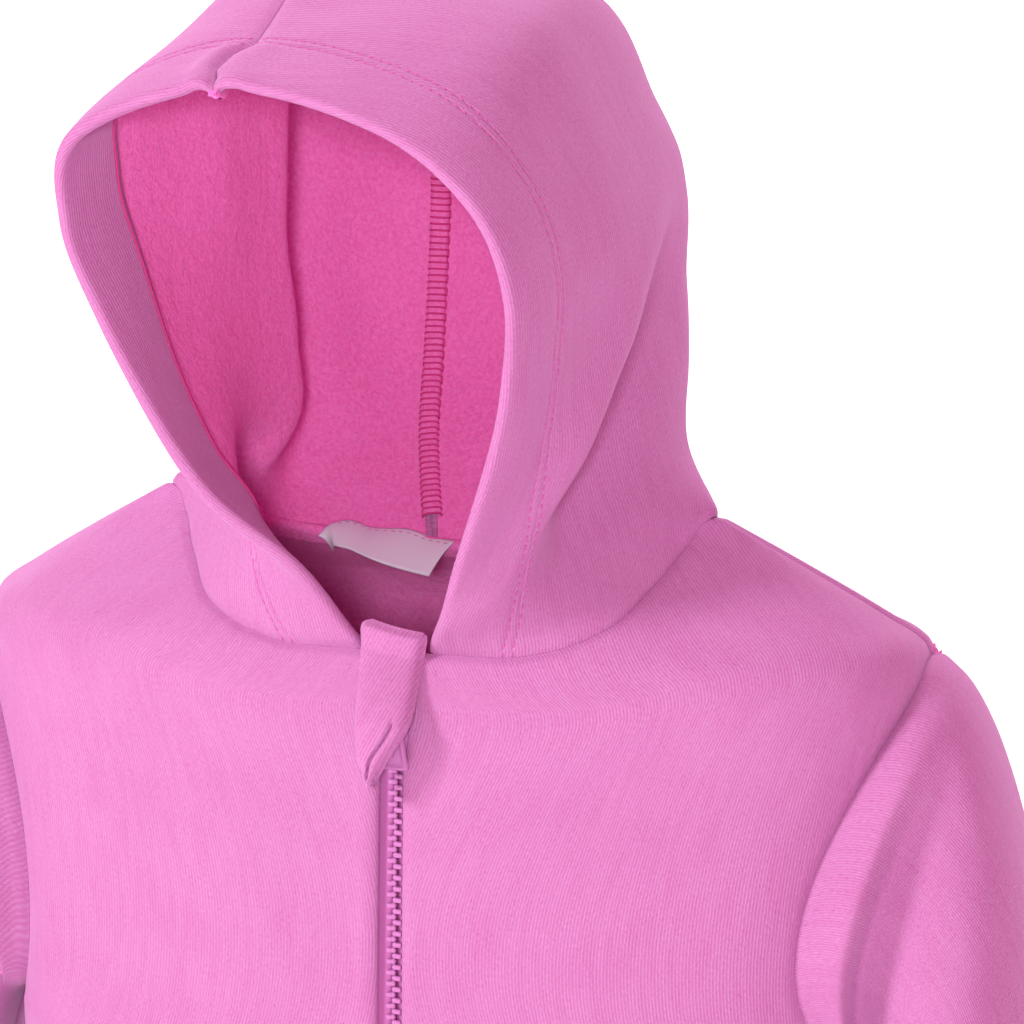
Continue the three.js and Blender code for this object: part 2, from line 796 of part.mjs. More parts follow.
function slider() {
  // Front plate, post between the tapes, back plate and the bridge for the pull
  const pieces = [
    plate(1, sliderY - 2.0, sliderY - 0.45),
    box(-0.9, 0.9, sliderY - 0.8, sliderY + 4.6, sliderTop - 7, sliderTop - 1),
    plate(0.9, sliderY + 4.2, sliderY + 5.3),
    box(-1.1, 1.1, hinge[1] - 1.9, hinge[1] - 1.0, hinge[2] - 5.2, hinge[2] + 2.7),
    box(-1.1, 1.1, hinge[1] - 1.9, sliderY - 1.6, hinge[2] + 1.8, hinge[2] + 2.7),
    box(-1.1, 1.1, hinge[1] - 1.9, sliderY - 1.6, hinge[2] - 5.2, hinge[2] - 4.3),
  ];
  let solid = toSolid(pieces[0]);
  for (const piece of pieces.slice(1)) solid = solid.add(toSolid(piece));
  return fromSolid(solid.translate([zipX, 0, 0]));
}

// Pull tab: a flat bar that widens downwards, with the slot that runs on the bridge
const pullLength = 9.0;
function pull() {
  const shape = new THREE.Shape();
  const top = 1.35;
  shape.moveTo(-3.4, top);
  shape.lineTo(-5.0, -pullLength + 0.5);
  shape.lineTo(-4.6, -pullLength);
  shape.lineTo(4.6, -pullLength);
  shape.lineTo(5.0, -pullLength + 0.5);
  shape.lineTo(3.4, top);
  shape.closePath();
  const slot = new THREE.Path();
  slot.moveTo(-1.5, 0.55);
  slot.lineTo(1.5, 0.55);
  slot.lineTo(1.5, -6.2);
  slot.lineTo(-1.5, -6.2);
  slot.closePath();
  shape.holes.push(slot);
  const geometry = new THREE.ExtrudeGeometry(shape, { depth: 1.1, bevelEnabled: false });
  geometry.rotateX(Math.PI / 2);
  geometry.translate(0, 0.55, 0);
  return geometry;
}

// Chin guard: folded cloth over the top of the zip, coming to a point below
// columns: z, left x, right x, stand-off in front of the body
const guardRows = [
  [-69.5, -1.6, 0.6, 7.8],
  [-65, -4.4, 2.6, 8.2],
  [-60, -6.0, 5.0, 8.5],
  [-54.5, -6.8, 7.4, 8.6],
  [-49, -6.9, 8.0, 8.2],
  [-43, -6.9, 8.3, 5.6],
  [-37, -6.8, 8.9, 3.25],
  [-31, -6.7, 9.6, 2.95],
  [-26, -5.6, 9.0, 3.1],
  [-23.5, -2.4, 3.6, 3.2],
];

function chinGuard() {
  const steps = 8;
  const points = guardRows.map(([z, x0, x1, off]) => {
    const row = [];
    for (let j = 0; j <= steps; j++) {
      const f = j / steps;
      const bow = 1.3 * Math.sin(Math.PI * f);
      row.push([x0 + (x1 - x0) * f, frontY(0, Math.min(z, frontNeckZ)) - off - bow, z]);
    }
    return row;
  });
  const normals = points.map((row) => row.map(() => [0, -1, 0]));
  return shell(points, normals, () => 2.6);
}

// Neck label: a satin strip hanging inside the back neck seam
function neckLabel() {
  const steps = 10;
  const drops = [0, 3.4, 6.8, 10.2];
  const points = drops.map((drop) => {
    const row = [];
    for (let j = 0; j <= steps; j++) {
      const x = -5 - 33 * (j / steps);
      const share = shareOfX(x, neckWidthBack);
      const z = neckZ(share, "back");
      const wallY = bodyPoint(share, z, -1, "back")[1];
      const curl = 2.2 * clamp(drop / 10, 0, 1) * (j / steps) ** 3;
      row.push([x - drop * 0.12, wallY - 3.6 - drop * 0.18 - curl, z - 1.2 - drop * 0.98]);
    }
    return row;
  });
  const normals = points.map((row) => row.map(() => [0, -1, 0]));
  return shell(points, normals, () => 0.5);
}

const cloth = new THREE.MeshStandardMaterial({ color: 0xe886cf, roughness: 0.95, metalness: 0 });
const plastic = new THREE.MeshStandardMaterial({ color: 0xd58bd3, roughness: 0.45, metalness: 0 });
const satin = new THREE.MeshStandardMaterial({ color: 0xf4f1f2, roughness: 0.35, metalness: 0 });

const hoodie = new THREE.Group();
function place(name, geometry, material, position = [0, 0, 0]) {
  const mesh = new THREE.Mesh(geometry, material);
  mesh.name = name;
  mesh.position.set(...position);
  hoodie.add(mesh);
}

place("front_left", frontPanel(1), cloth);
place("front_right", frontPanel(-1), cloth);
place("back", backPanel(), cloth);
place("sleeve_left", sleeve(1), cloth);
place("sleeve_right", sleeve(-1), cloth);
place("hood_left", hoodPanel(1), cloth);
place("hood_right", hoodPanel(-1), cloth);
place("chin_guard", chinGuard(), cloth);
place("zip_tape_left", zipTape(1), plastic);
place("zip_tape_right", zipTape(-1), plastic);
place("zip_slider", slider(), plastic);
place("zip_pull", pull(), plastic, hinge);
place("neck_label", neckLabel(), satin);

export default hoodie;
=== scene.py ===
"""Toddler hoodie with a front zip, filled out as if worn with nobody in it.

Every piece of cloth is one grid shaped by the garment's own sections, in millimetres,
written to its mesh in metres. Front is -Y and the wearer's left is +X.
"""

import math

import bmesh
import bpy
import numpy as np
from mathutils import Matrix, Vector


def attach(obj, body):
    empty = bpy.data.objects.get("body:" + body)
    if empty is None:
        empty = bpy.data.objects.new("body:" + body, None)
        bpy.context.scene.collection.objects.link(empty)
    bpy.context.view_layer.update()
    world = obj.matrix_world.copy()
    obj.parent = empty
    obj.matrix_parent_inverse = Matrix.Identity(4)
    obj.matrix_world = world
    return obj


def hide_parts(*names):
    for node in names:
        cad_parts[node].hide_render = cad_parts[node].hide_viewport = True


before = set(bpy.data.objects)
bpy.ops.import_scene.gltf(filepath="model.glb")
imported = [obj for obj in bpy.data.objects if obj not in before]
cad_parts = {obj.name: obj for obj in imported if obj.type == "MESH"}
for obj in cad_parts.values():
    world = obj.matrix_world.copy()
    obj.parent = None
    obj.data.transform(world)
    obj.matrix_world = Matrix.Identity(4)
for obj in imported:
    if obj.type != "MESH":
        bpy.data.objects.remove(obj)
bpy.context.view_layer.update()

MM = 0.001
CLOTH = 1.7
FOLD = 1.9
SEAM_SINK = 0.9
SEAM_ROUND = 1.5
ALLOWANCE = (0.5, 1.1, 1.7)

# Body sections: height, half width, reach to the front, reach to the back, centre y
BODY_RINGS = [
    (-372, 124, 62, 64, 10),
    (-300, 121, 61, 64, 10),
    (-220, 120, 61, 66, 10),
    (-150, 122, 61, 68, 11),
    (-100, 127, 61, 68, 13),
    (-60, 132, 61, 62, 15),
    (-45, 133.5, 60, 55, 15),
    (-35, 131, 56, 46, 14.5),
    (-27, 120, 47, 34, 11.6),
    (-15, 101, 27, 19, 6.4),
    (-7, 88, 13, 10, 3),
    (0, 77, 4, 4, 0),
]
SQUARE = 0.8
HEM_Z, ARMPIT_Z, SHOULDER_Z = -372.0, -150.0, -38.0
FRONT_NECK_Z, BACK_NECK_Z = -33.0, -22.0
ZIP_HALF_GAP, ZIP_X = 3.4, 1.2

# Neck seam: angle from the centre front, height
NECK_LINE = [
    (0, -33),
    (8, -33),
    (14, -31),
    (22, -26),
    (34, -16),
    (50, -7),
    (68, -1.5),
    (90, 0),
    (112, -2.5),
    (135, -9),
    (158, -18),
    (180, -22),
]

# Hood key sections from the neck seam up to the crown seam, each x, y, z
RIM_LEFT = [
    (10.6, -41, -33),
    (21, -54, -9),
    (31, -64, 18),
    (38.5, -70, 44),
    (40.5, -73, 69),
    (31, -74, 92),
    (6, -73, 111),
    (-35.5, -69, 119),
]
RIM_RIGHT = [
    (-11, -40, -32),
    (-28, -48, -12),
    (-47, -53, 6),
    (-62, -56, 29),
    (-75, -59, 56),
    (-83, -62, 82),
    (-77, -66, 105),
    (-35.5, -69, 119),
]
SIDE_LEFT = [
    (77, 4, 0),
    (63, 22, 13),
    (61.5, 28, 34),
    (61.5, 28, 56),
    (62, 24, 79),
    (53, 20, 104),
    (34, 12, 136),
    (-30, 0, 152),
]
SIDE_RIGHT = [
    (-77, 4, 0),
    (-62, 12, 16),
    (-63, 12, 36),
    (-68, 8, 58),
    (-70, 1, 80),
    (-72, -5, 103),
    (-68, -18, 123),
    (-30, 0, 152),
]
CENTRE_SEAM = [
    (-13, 33, -20),
    (-20, 56, 2),
    (-23, 71, 24),
    (-24, 79, 48),
    (-24, 82, 72),
    (-24, 80, 96),
    (-25, 74, 118),
    (-26, 60, 136),
]
CROWN = 7
RIM_ARC = math.radians(58)
HOOD_START = {1: 10.6, -1: 11.0}
HOOD_SEAM_X = -13.0

# The upright pleat in the right hood panel and the slack valley in the left one:
# section height, share of its deepest line, depth
PLEAT_LINE = [
    (0, 0.78, 0),
    (0.5, 0.7, 8),
    (1, 0.645, 7.5),
    (1.5, 0.62, 7.5),
    (2, 0.61, 9),
    (3, 0.605, 12.5),
    (4, 0.615, 14.5),
    (5, 0.64, 15.5),
    (5.6, 0.655, 13),
    (6.2, 0.665, 8),
    (6.7, 0.67, 2.5),
    (7, 0.67, 0),
]
VALLEY_LINE = [
    (0, 0.085, 0),
    (0.5, 0.13, 4),
    (1, 0.195, 7),
    (1.5, 0.24, 9),
    (2, 0.28, 9.5),
    (2.5, 0.33, 8),
    (3, 0.39, 6),
    (3.5, 0.43, 3.5),
    (4, 0.47, 1.5),
    (4.6, 0.5, 0),
    (7, 0.5, 0),
]

# Sleeve rings: inner x, inner z, outer x, outer z, half depth, centre y, own oval, fold
SLEEVE_RINGS = [
    (127, -150, 133, -38, 46, 13, 0, 0),
    (128, -152, 139.5, -42, 45, 13, 0.14, 0),
    (128.6, -154, 145, -48, 44, 13, 0.3, 0),
    (129.2, -157, 150, -55, 44, 14, 0.48, 0),
    (130.2, -162, 155.5, -70, 44, 14, 0.74, 0),
    (132, -170, 160, -92, 44, 14, 0.92, 0.8),
    (134, -180, 165, -125, 44, 14, 1, 0),
    (137, -195, 170, -160, 43, 13, 1, -1.5),
    (140, -210, 174, -184, 41.5, 12, 1, 1.5),
    (144, -232, 179, -214, 39, 10, 1, 0),
    (148, -256, 183, -242, 36.5, 8, 1, -1.5),
    (152, -278, 187, -267, 34, 7, 1, 1.2),
    (157, -304, 191, -295, 31.5, 5, 1, 0),
    (161, -322, 195, -314, 30, 3, 1, 0),
    (163, -343, 198, -335, 29.5, 2, 1, 0),
]
# Armhole: reach towards the middle in degrees round the body, and its lean downwards
ARM_REACH = {
    (1, "front"): (36.5, 1.3),
    (-1, "front"): (29.0, 1.15),
    (1, "back"): (25.0, 1.15),
    (-1, "back"): (25.0, 1.15),
}
# The roll beside the armhole seam: turn round the armhole, share of its height
ROLL_SHARE = [
    (0, 0),
    (25, 0.05),
    (50, 0.5),
    (75, 0.9),
    (105, 1.05),
    (124, 0.9),
    (140, 0.45),
    (156, 0),
    (360, 0),
]


def smooth_column(rows, column, x):
    """A table's column as a smooth curve over its first column, without overshoot."""
    table = np.array(rows, float)
    xs, ys = table[:, 0], table[:, column]
    gap = np.diff(xs)
    slope = np.diff(ys) / gap
    tangent = np.zeros(len(xs))
    tangent[0], tangent[-1] = slope[0], slope[-1]
    for i in range(1, len(xs) - 1):
        if slope[i - 1] * slope[i] > 0:
            w1, w2 = 2 * gap[i] + gap[i - 1], gap[i] + 2 * gap[i - 1]
            tangent[i] = (w1 + w2) / (w1 / slope[i - 1] + w2 / slope[i])
    x = np.asarray(x, float)
    i = np.clip(np.searchsorted(xs, x) - 1, 0, len(xs) - 2)
    t = np.clip((x - xs[i]) / gap[i], 0, 1)
    return (
        (1 + 2 * t) * (1 - t) ** 2 * ys[i]
        + t * (1 - t) ** 2 * gap[i] * tangent[i]
        + t * t * (3 - 2 * t) * ys[i + 1]
        + t * t * (t - 1) * gap[i] * tangent[i + 1]
    )


def hill(x, centre, spread):
    return np.exp(-(((x - centre) / spread) ** 2))


def ease(x):
    x = np.clip(x, 0, 1)
    return x * x * (3 - 2 * x)


def unit(v):
    return v / np.maximum(1e-9, np.linalg.norm(v, axis=-1, keepdims=True))


def ring_width(z):
    return smooth_column(BODY_RINGS, 1, z)


def body_point(share, z, side, face):
    """A point of the body: share 0 at the centre line, 1 at the side."""
    share, z = np.broadcast_arrays(np.asarray(share, float), np.asarray(z, float))
    reach = smooth_column(BODY_RINGS, 2 if face == "front" else 3, z)
    centre = smooth_column(BODY_RINGS, 4, z)
    angle = math.pi / 2 * np.clip(np.abs(share), 0, 1) ** 1.25
    x = np.sign(share + 1e-12) * side * ring_width(z) * np.sin(angle) ** SQUARE
    away = reach * np.maximum(0, np.cos(angle)) ** SQUARE
    return np.stack([x, centre - away if face == "front" else centre + away, z], -1)


def share_of_x(x, width):
    return abs(x) / (1.435 * width)


def front_y(x, z):
    return body_point(share_of_x(x, ring_width(z)), z, 1, "front")[..., 1]


def neck_height(share, face):
    angle = 90 * np.abs(share) ** 1.25
    return smooth_column(NECK_LINE, 1, angle if face == "front" else 180 - angle)


def armhole(turn, side, face):
    """Share and height of the armhole: turn 0 at the shoulder point, 180 underarm."""
    reach, lean = ARM_REACH[side, face]
    z = (SHOULDER_Z + ARMPIT_Z) / 2 + (SHOULDER_Z - ARMPIT_Z) / 2 * np.cos(np.radians(turn))
    down = np.where(turn > 180, 360 - turn, turn) / 180
    angle = 90 - reach * np.maximum(0, np.sin(math.pi * down**lean)) ** 0.85
    return (angle / 90) ** 0.8, z


def hood_foot(u, side):
    start = share_of_x(HOOD_START[side], ring_width(FRONT_NECK_Z))
    end = share_of_x(HOOD_SEAM_X, ring_width(BACK_NECK_Z)) * (-1 if side > 0 else 1)
    front = start + (1 - start) * np.minimum(u, 0.5) / 0.5
    back = 1 + (end - 1) * (np.maximum(u, 0.5) - 0.5) / 0.5
    return front, back


def hood_key(k, u, side):
    """Key section k of the hood, u 0 at the opening's edge and 1 at the centre seam."""
    u = np.asarray(u, float)
    if k == 0:
        front, back = hood_foot(u, side)
        foremost = body_point(front, neck_height(front, "front"), side, "front")
        hindmost = body_point(back, neck_height(back, "back"), side, "back")
        return np.where((u <= 0.5)[..., None], foremost, hindmost)
    rim = np.array((RIM_LEFT if side > 0 else RIM_RIGHT)[k], float)
    wide = np.array((SIDE_LEFT if side > 0 else SIDE_RIGHT)[k], float)
    seam = np.array(CENTRE_SEAM[k], float)
    turn = RIM_ARC * np.clip((0.5 - u) / 0.5, 0, 1)
    gx = (1 - np.cos(turn)) / (1 - math.cos(RIM_ARC))
    gy = np.sin(turn) / math.sin(RIM_ARC)
    gz = gy ** (2 if k < CROWN else 1.1)
    front = wide + (rim - wide) * np.stack([gx, gy, gz], -1)
    turn = math.pi / 2 * np.clip((u - 0.5) / 0.5, 0, 1)
    gz = np.sin(turn) ** 2 if k < CROWN else 1 - np.cos(turn)
    gx = 1 - np.maximum(0, np.cos(turn)) ** 0.9
    back = wide + (seam - wide) * np.stack([gx, np.sin(turn), gz], -1)
    return np.where((u < 0.5)[..., None], front, back)


def hood_plain(t, u, side):
    """The hood's surface, without its folds, at section heights t; u is one row of
    shares or a row for each height."""
    t = np.asarray(t, float)
    u = np.broadcast_to(np.asarray(u, float), (len(t), np.shape(u)[-1]))
    keys = [hood_key(k, u, side) for k in range(CROWN + 1)]
    before = 2 * keys[0] - keys[1]
    beyond = hood_key(CROWN - 1, u, -side)
    line = np.stack([before, *keys, beyond])
    i = np.clip(np.floor(t).astype(int), 0, CROWN - 1)
    f = (t - i)[:, None, None]
    row = np.arange(len(t))
    p0, p1, p2, p3 = (line[i + k, row] for k in range(4))
    return 0.5 * (
        2 * p1
        + (p2 - p0) * f
        + (2 * p0 - 5 * p1 + 4 * p2 - p3) * f * f
        + (3 * p1 - p0 - 3 * p2 + p3) * f**3
    )


def grid_normals(points, outward):
    """Unit normals of a grid, turned to point away from a middle point or line."""
    across = np.gradient(points, axis=1)
    along = np.gradient(points, axis=0)
    n = unit(np.cross(across, along))
    return -n if np.mean(np.sum(n * outward, -1)) < 0 else n


def hood_fold(t, u, side):
    """Push along the normal: each fold is steep on one flank and easy on the other."""
    table = PLEAT_LINE if side < 0 else VALLEY_LINE
    line = smooth_column(table, 1, t)[:, None]
    depth = smooth_column(table, 2, t)[:, None]
    before, after = np.maximum(0, line - u), np.maximum(0, u - line)
    if side < 0:
        flank = np.exp(-((before / 0.2) ** 1.4) - (after / 0.055) ** 1.6)
        return depth * (0.6 * hill(u, line + 0.105, 0.05) - flank)
    before, after = np.maximum(0, line + 0.02 - u), np.maximum(0, u - line - 0.02)
    flank = np.exp(-((before / 0.06) ** 2) - (after / 0.12) ** 2)
    return depth * (0.45 * hill(u, line - 0.095, 0.05) - 1.5 * flank)


def smooth_noise(a, b, seed, scale):
    """Gentle seeded waves over two coordinates in millimetres."""
    rng = np.random.default_rng(seed)
    total = np.zeros(np.broadcast(a, b).shape)
    for _ in range(9):
        turn, phase = rng.uniform(0, 2 * math.pi, 2)
        wave = scale * rng.uniform(0.7, 1.6)
        total += np.sin((a * math.cos(turn) + b * math.sin(turn)) / wave * 2 * math.pi + phase)
    return total / 3


def arc_lengths(points, axis):
    steps = np.linalg.norm(np.diff(points, axis=axis), axis=-1)
    zero = np.zeros_like(np.take(steps, [0], axis=axis))
    return np.concatenate([zero, np.cumsum(steps, axis=axis)], axis=axis)


# Seams: both neighbours sink and turn inwards along one shared direction


def neck_direction(p):
    radial = np.stack([p[..., 0] / 77**2, (p[..., 1] + 2) / 40**2, 0 * p[..., 0]], -1)
    return unit(unit(radial) + np.array([0, 0, 0.7]))


def body_direction(p, side):
    """Way out at the side seam, the armhole and the shoulder seam, by height."""
    flat = 0 * p[..., 0]
    ellipse = np.stack([flat, (p[..., 1] - 13) / 38**2, (p[..., 2] + 94) / 56**2], -1)
    arm = unit(unit(ellipse) + np.array([0.35 * side, 0, 0]))
    low = ease((p[..., 2] + 158) / 16)[..., None]
    high = ease((p[..., 2] + 48) / 12)[..., None]
    shoulder = unit(np.array([0.3 * side, 0, 1.0]))
    return unit((1 - low) * np.array([side, 0, 0]) + low * ((1 - high) * arm + high * shoulder))


def sink(points, distance, direction):
    return points - direction * (SEAM_SINK * np.exp(-((distance / SEAM_ROUND) ** 2)))[..., None]


def with_allowance(points, normals, edge, direction):
    """Turns a grid's edge inwards by its seam allowance. The normals keep the edge's."""
    if edge in ("left", "right"):
        points, normals = points.transpose(1, 0, 2), normals.transpose(1, 0, 2)
    first = edge in ("bottom", "left")
    row, n = (points[0], normals[0]) if first else (points[-1], normals[-1])
    extra = np.stack([row - direction * depth for depth in ALLOWANCE])
    more = np.repeat(n[None], len(ALLOWANCE), 0)
    if first:
        points = np.concatenate([extra[::-1], points])
        normals = np.concatenate([more, normals])
    else:
        points = np.concatenate([points, extra])
        normals = np.concatenate([normals, more])
    if edge in ("left", "right"):
        points, normals = points.transpose(1, 0, 2), normals.transpose(1, 0, 2)
    return points, normals


def turned_hem(points, normals, depth, edge, moved=None, radius=FOLD, turns=7, step=2.2):
    """Adds a hem to a grid whose first row or column is the free edge: the cloth goes
    round the edge and back up inside. Moved shifts the whole, hem and all."""
    if moved is None:
        moved = np.zeros_like(points)
    if edge == "column":
        points, normals, moved = (g.transpose(1, 0, 2) for g in (points, normals, moved))
    along = arc_lengths(points, 0)
    columns = points.shape[1]
    inside = np.arange(depth, 0, -step)
    layer = np.zeros((len(inside), columns, 3))
    layer_normals, layer_moved = np.zeros_like(layer), np.zeros_like(layer)
    for j in range(columns):
        for k in range(3):
            layer_normals[:, j, k] = np.interp(inside, along[:, j], normals[:, j, k])
            layer[:, j, k] = np.interp(inside, along[:, j], points[:, j, k])
            layer_moved[:, j, k] = np.interp(inside, along[:, j], moved[:, j, k])
    layer = layer - layer_normals * 2 * radius
    towards = unit(points[2] - points[0])
    bend = []
    for angle in np.linspace(math.pi, 0, turns + 1)[:-1]:
        down = radius * (1 - math.cos(angle))
        bend.append(points[0] - normals[0] * down - towards * radius * math.sin(angle))
    ends = np.repeat(normals[:1], turns, 0)
    full = np.concatenate([layer, np.stack(bend), points])
    full = full + np.concatenate([layer_moved, np.repeat(moved[:1], turns, 0), moved])
    longer = np.concatenate([layer_normals, ends, normals])
    if edge == "column":
        full, longer = full.transpose(1, 0, 2), longer.transpose(1, 0, 2)
    return full, longer


def flat_cut(points):
    """Place of each grid point on the flat cloth, from the lengths along the grid."""
    across = arc_lengths(points, 1)
    middle = points.shape[1] // 2
    across = across - across[:, middle : middle + 1]
    return np.stack([across, arc_lengths(points, 0)], -1)


def turned_cut(cut, degrees):
    """The same cut with the knit's lines turned."""
    a = math.radians(degrees)
    x, y = cut[..., 0], cut[..., 1]
    return np.stack([x * math.cos(a) - y * math.sin(a), x * math.sin(a) + y * math.cos(a)], -1)


# Meshes


def new_piece(name, bm, materials, body="garment", smooth=True):
    for face in bm.faces:
        face.smooth = smooth
    mesh = bpy.data.meshes.new(name)
    bm.to_mesh(mesh)
    bm.free()
    for material in materials:
        mesh.materials.append(material)
    piece = bpy.data.objects.new(name, mesh)
    bpy.context.scene.collection.objects.link(piece)
    if body:
        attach(piece, body)
    return piece


def lay_grid(bm, points, cut, uv, joined=False):
    """A grid of faces moved onto the points; joined closes its columns to a tube."""
    rows, columns = points.shape[:2]
    made = bmesh.ops.create_grid(bm, x_segments=columns - 1, y_segments=rows - 1, size=0.5)
    verts = made["verts"]
    place = {}
    for v in verts:
        j = round((v.co.x + 0.5) * (columns - 1))
        i = round((v.co.y + 0.5) * (rows - 1))
        place[v] = (i, j)
    for v, (i, j) in place.items():
        v.co = Vector(points[i, j] * MM)
    if uv is not None:
        for face in {f for v in verts for f in v.link_faces}:
            for loop in face.loops:
                i, j = place[loop.vert]
                loop[uv].uv = (cut[i, j, 0] * MM, cut[i, j, 1] * MM)
    if joined:
        bmesh.ops.remove_doubles(bm, verts=verts, dist=1e-7)


def sheet_mesh(name, points, cut, materials, outward=None, joined=False):
    """One grid of cloth: points in millimetres, cut its place on the flat cloth."""
    bm = bmesh.new()
    uv = bm.loops.layers.uv.new("cut")
    lay_grid(bm, points, cut, uv, joined)
    bm.normal_update()
    if outward is not None:
        total = sum(f.normal.dot(outward(f.calc_center_median())) for f in bm.faces)
        if total < 0:
            bmesh.ops.reverse_faces(bm, faces=bm.faces[:])
    return new_piece(name, bm, materials)


def thicken(piece, thickness, inner=1):
    wall = piece.modifiers.new("wall", "SOLIDIFY")
    wall.thickness = thickness * MM
    wall.offset = -1
    wall.material_offset = inner


def away_from(x, y, z):
    return lambda p: Vector((p.x - x * MM, p.y - y * MM, p.z - z * MM))


def side_ways(path):
    """Two directions square to a path, carried along it."""
    tangent = unit(np.gradient(path, axis=0))
    spare = np.array([0.0, 0.0, 1.0]) if abs(tangent[0][2]) < 0.8 else np.array([1.0, 0.0, 0.0])
    first = []
    for step in tangent:
        spare = spare - step * np.dot(spare, step)
        spare = spare / np.linalg.norm(spare)
        first.append(spare)
    first = np.array(first)
    return first, np.cross(tangent, first)


def tube_points(path, radius, sides=6):
    """Rings of points round a path; radius is one number or one for each place."""
    a, b = side_ways(path)
    turn = np.linspace(0, 2 * math.pi, sides + 1)
    r = np.broadcast_to(np.asarray(radius, float), (len(path),))[:, None, None]
    ring = a[:, None] * np.cos(turn)[None, :, None] + b[:, None] * np.sin(turn)[None, :, None]
    return path[:, None] + ring * r


def resample(path, step):
    """The path at even steps, with the normals that come with it."""
    length = arc_lengths(path[None], 1)[0]
    at = np.arange(0, length[-1], step)
    return np.stack([np.interp(at, length, path[:, k]) for k in range(path.shape[1])], -1)


def stitch_rows(name, lines, pitch=2.7, length=1.9, radius=0.27, lift=0.05):
    """Needle stitches lying along lines of points with their normals, six columns."""
    bm = bmesh.new()
    for line in lines:
        spots = resample(line, pitch)
        way = unit(np.gradient(spots[:, :3], axis=0))
        for spot, ahead in zip(spots, way):
            centre = (spot[:3] + unit(spot[3:]) * lift) * MM
            turn = Vector(ahead).to_track_quat("X", "Z").to_matrix().to_4x4()
            size = Matrix.Diagonal((length / 2 * MM, radius * MM, radius * MM, 1))
            bmesh.ops.create_icosphere(
                bm, subdivisions=1, radius=1, matrix=Matrix.Translation(centre) @ turn @ size
            )
    return new_piece(name, bm, [thread])


def with_normals(points, normals):
    return np.concatenate([points, normals], -1)


# Materials


def new_material(name):
    material = bpy.data.materials.new(name)
    material.use_nodes = True
    tree = material.node_tree
    tree.nodes.clear()
    out = tree.nodes.new("ShaderNodeOutputMaterial")
    shader = tree.nodes.new("ShaderNodeBsdfPrincipled")
    tree.links.new(shader.outputs["BSDF"], out.inputs["Surface"])
    return material, tree, shader


class Nodes:
    """Short calls for building a material's nodes."""

    def __init__(self, tree):
        self.tree = tree

    def add(self, kind, inputs=(), **settings):
        node = self.tree.nodes.new(kind)
        for key, value in settings.items():
            setattr(node, key, value)
        for key, value in dict(inputs).items():
            if hasattr(value, "is_output") and value.is_output:
                self.tree.links.new(value, node.inputs[key])
            else:
                node.inputs[key].default_value = value
        return node

    def math(self, operation, a, b=0.0):
        return self.add("ShaderNodeMath", {0: a, 1: b}, operation=operation).outputs[0]

    def spread(self, value, low, high):
        """The value from low to high as 0 to 1."""
        inputs = {"Value": value, "From Min": low, "From Max": high}
        return self.add("ShaderNodeMapRange", inputs).outputs[0]

    def noise(self, vector, scale, detail=2.0, rough=0.5):
        inputs = {"Vector": vector, "Scale": scale, "Detail": detail, "Roughness": rough}
        return self.add("ShaderNodeTexNoise", inputs).outputs["Fac"]

    def stretch(self, vector, x, y):
        return self.add("ShaderNodeMapping", {"Vector": vector, "Scale": (x, y, 1)}).outputs[0]

    def mix_colour(self, factor, a, b):
        node = self.add("ShaderNodeMix", data_type="RGBA")
        for key, value in {0: factor, 6: a, 7: b}.items():
            if hasattr(value, "is_output") and value.is_output:
                self.tree.links.new(value, node.inputs[key])
            else:
                node.inputs[key].default_value = value
        return node.outputs[2]

    def bump(self, height, strength, distance):
        inputs = {"Height": height, "Strength": strength, "Distance": distance}
        return self.add("ShaderNodeBump", inputs).outputs[0]


def colour(r, g, b):
    """Display colour, 0 to 255, as linear light."""

    def one(c):
        c /= 255
        return c / 12.92 if c <= 0.04045 else ((c + 0.055) / 1.055) ** 2.4

    return (one(r), one(g), one(b), 1.0)


JERSEY = colour(191, 132, 183)
JERSEY_LIGHT = colour(212, 168, 211)
JERSEY_DARK = colour(172, 70, 138)
WALE_PITCH = 0.9 * MM


def jersey_material():
    material, tree, shader = new_material("brushed_jersey")
    n = Nodes(tree)
    cut = n.add("ShaderNodeUVMap", uv_map="cut").outputs[0]
    fleck = n.noise(n.stretch(cut, 1700, 1000), 1.0)
    streak = n.noise(n.stretch(cut, 420, 60), 1.0, 3.0)
    cloud = n.noise(cut, 45.0, 2.0)
    wave = {"Vector": cut, "Scale": 0.314 / WALE_PITCH, "Distortion": 0.4, "Detail": 1.0, "Detail Scale": 3.0}
    wale = n.add("ShaderNodeTexWave", wave, bands_direction="X").outputs["Fac"]
    light = n.spread(fleck, 0.55, 0.74)
    dark = n.spread(fleck, 0.45, 0.27)
    tint = n.mix_colour(n.math("MULTIPLY", light, 0.4), JERSEY, JERSEY_LIGHT)
    tint = n.mix_colour(n.math("MULTIPLY", dark, 0.45), tint, JERSEY_DARK)
    shade = n.math("MULTIPLY", n.spread(streak, 0.4, 0.7), 0.16)
    tint = n.mix_colour(shade, tint, JERSEY_DARK)
    tint = n.mix_colour(n.math("MULTIPLY", n.spread(cloud, 0.4, 0.65), 0.08), tint, JERSEY_LIGHT)
    # Painted shade: the colour darkens towards JERSEY_DARK in the grooves between the knit's wales
    wale_groove_shade = n.math("MULTIPLY", n.math("SUBTRACT", 1.0, wale), 0.34)
    tint = n.mix_colour(wale_groove_shade, tint, JERSEY_DARK)
    tree.links.new(tint, shader.inputs["Base Color"])
    height = n.math("ADD", n.math("MULTIPLY", wale, 0.7), fleck)
    tree.links.new(n.bump(height, 0.45, 0.00022), shader.inputs["Normal"])
    shader.inputs["Roughness"].default_value = 0.92
    shader.inputs["Specular IOR Level"].default_value = 0.15
    shader.inputs["Sheen Weight"].default_value = 0.3
    shader.inputs["Sheen Roughness"].default_value = 0.45
    shader.inputs["Sheen Tint"].default_value = colour(236, 214, 250)
    return material


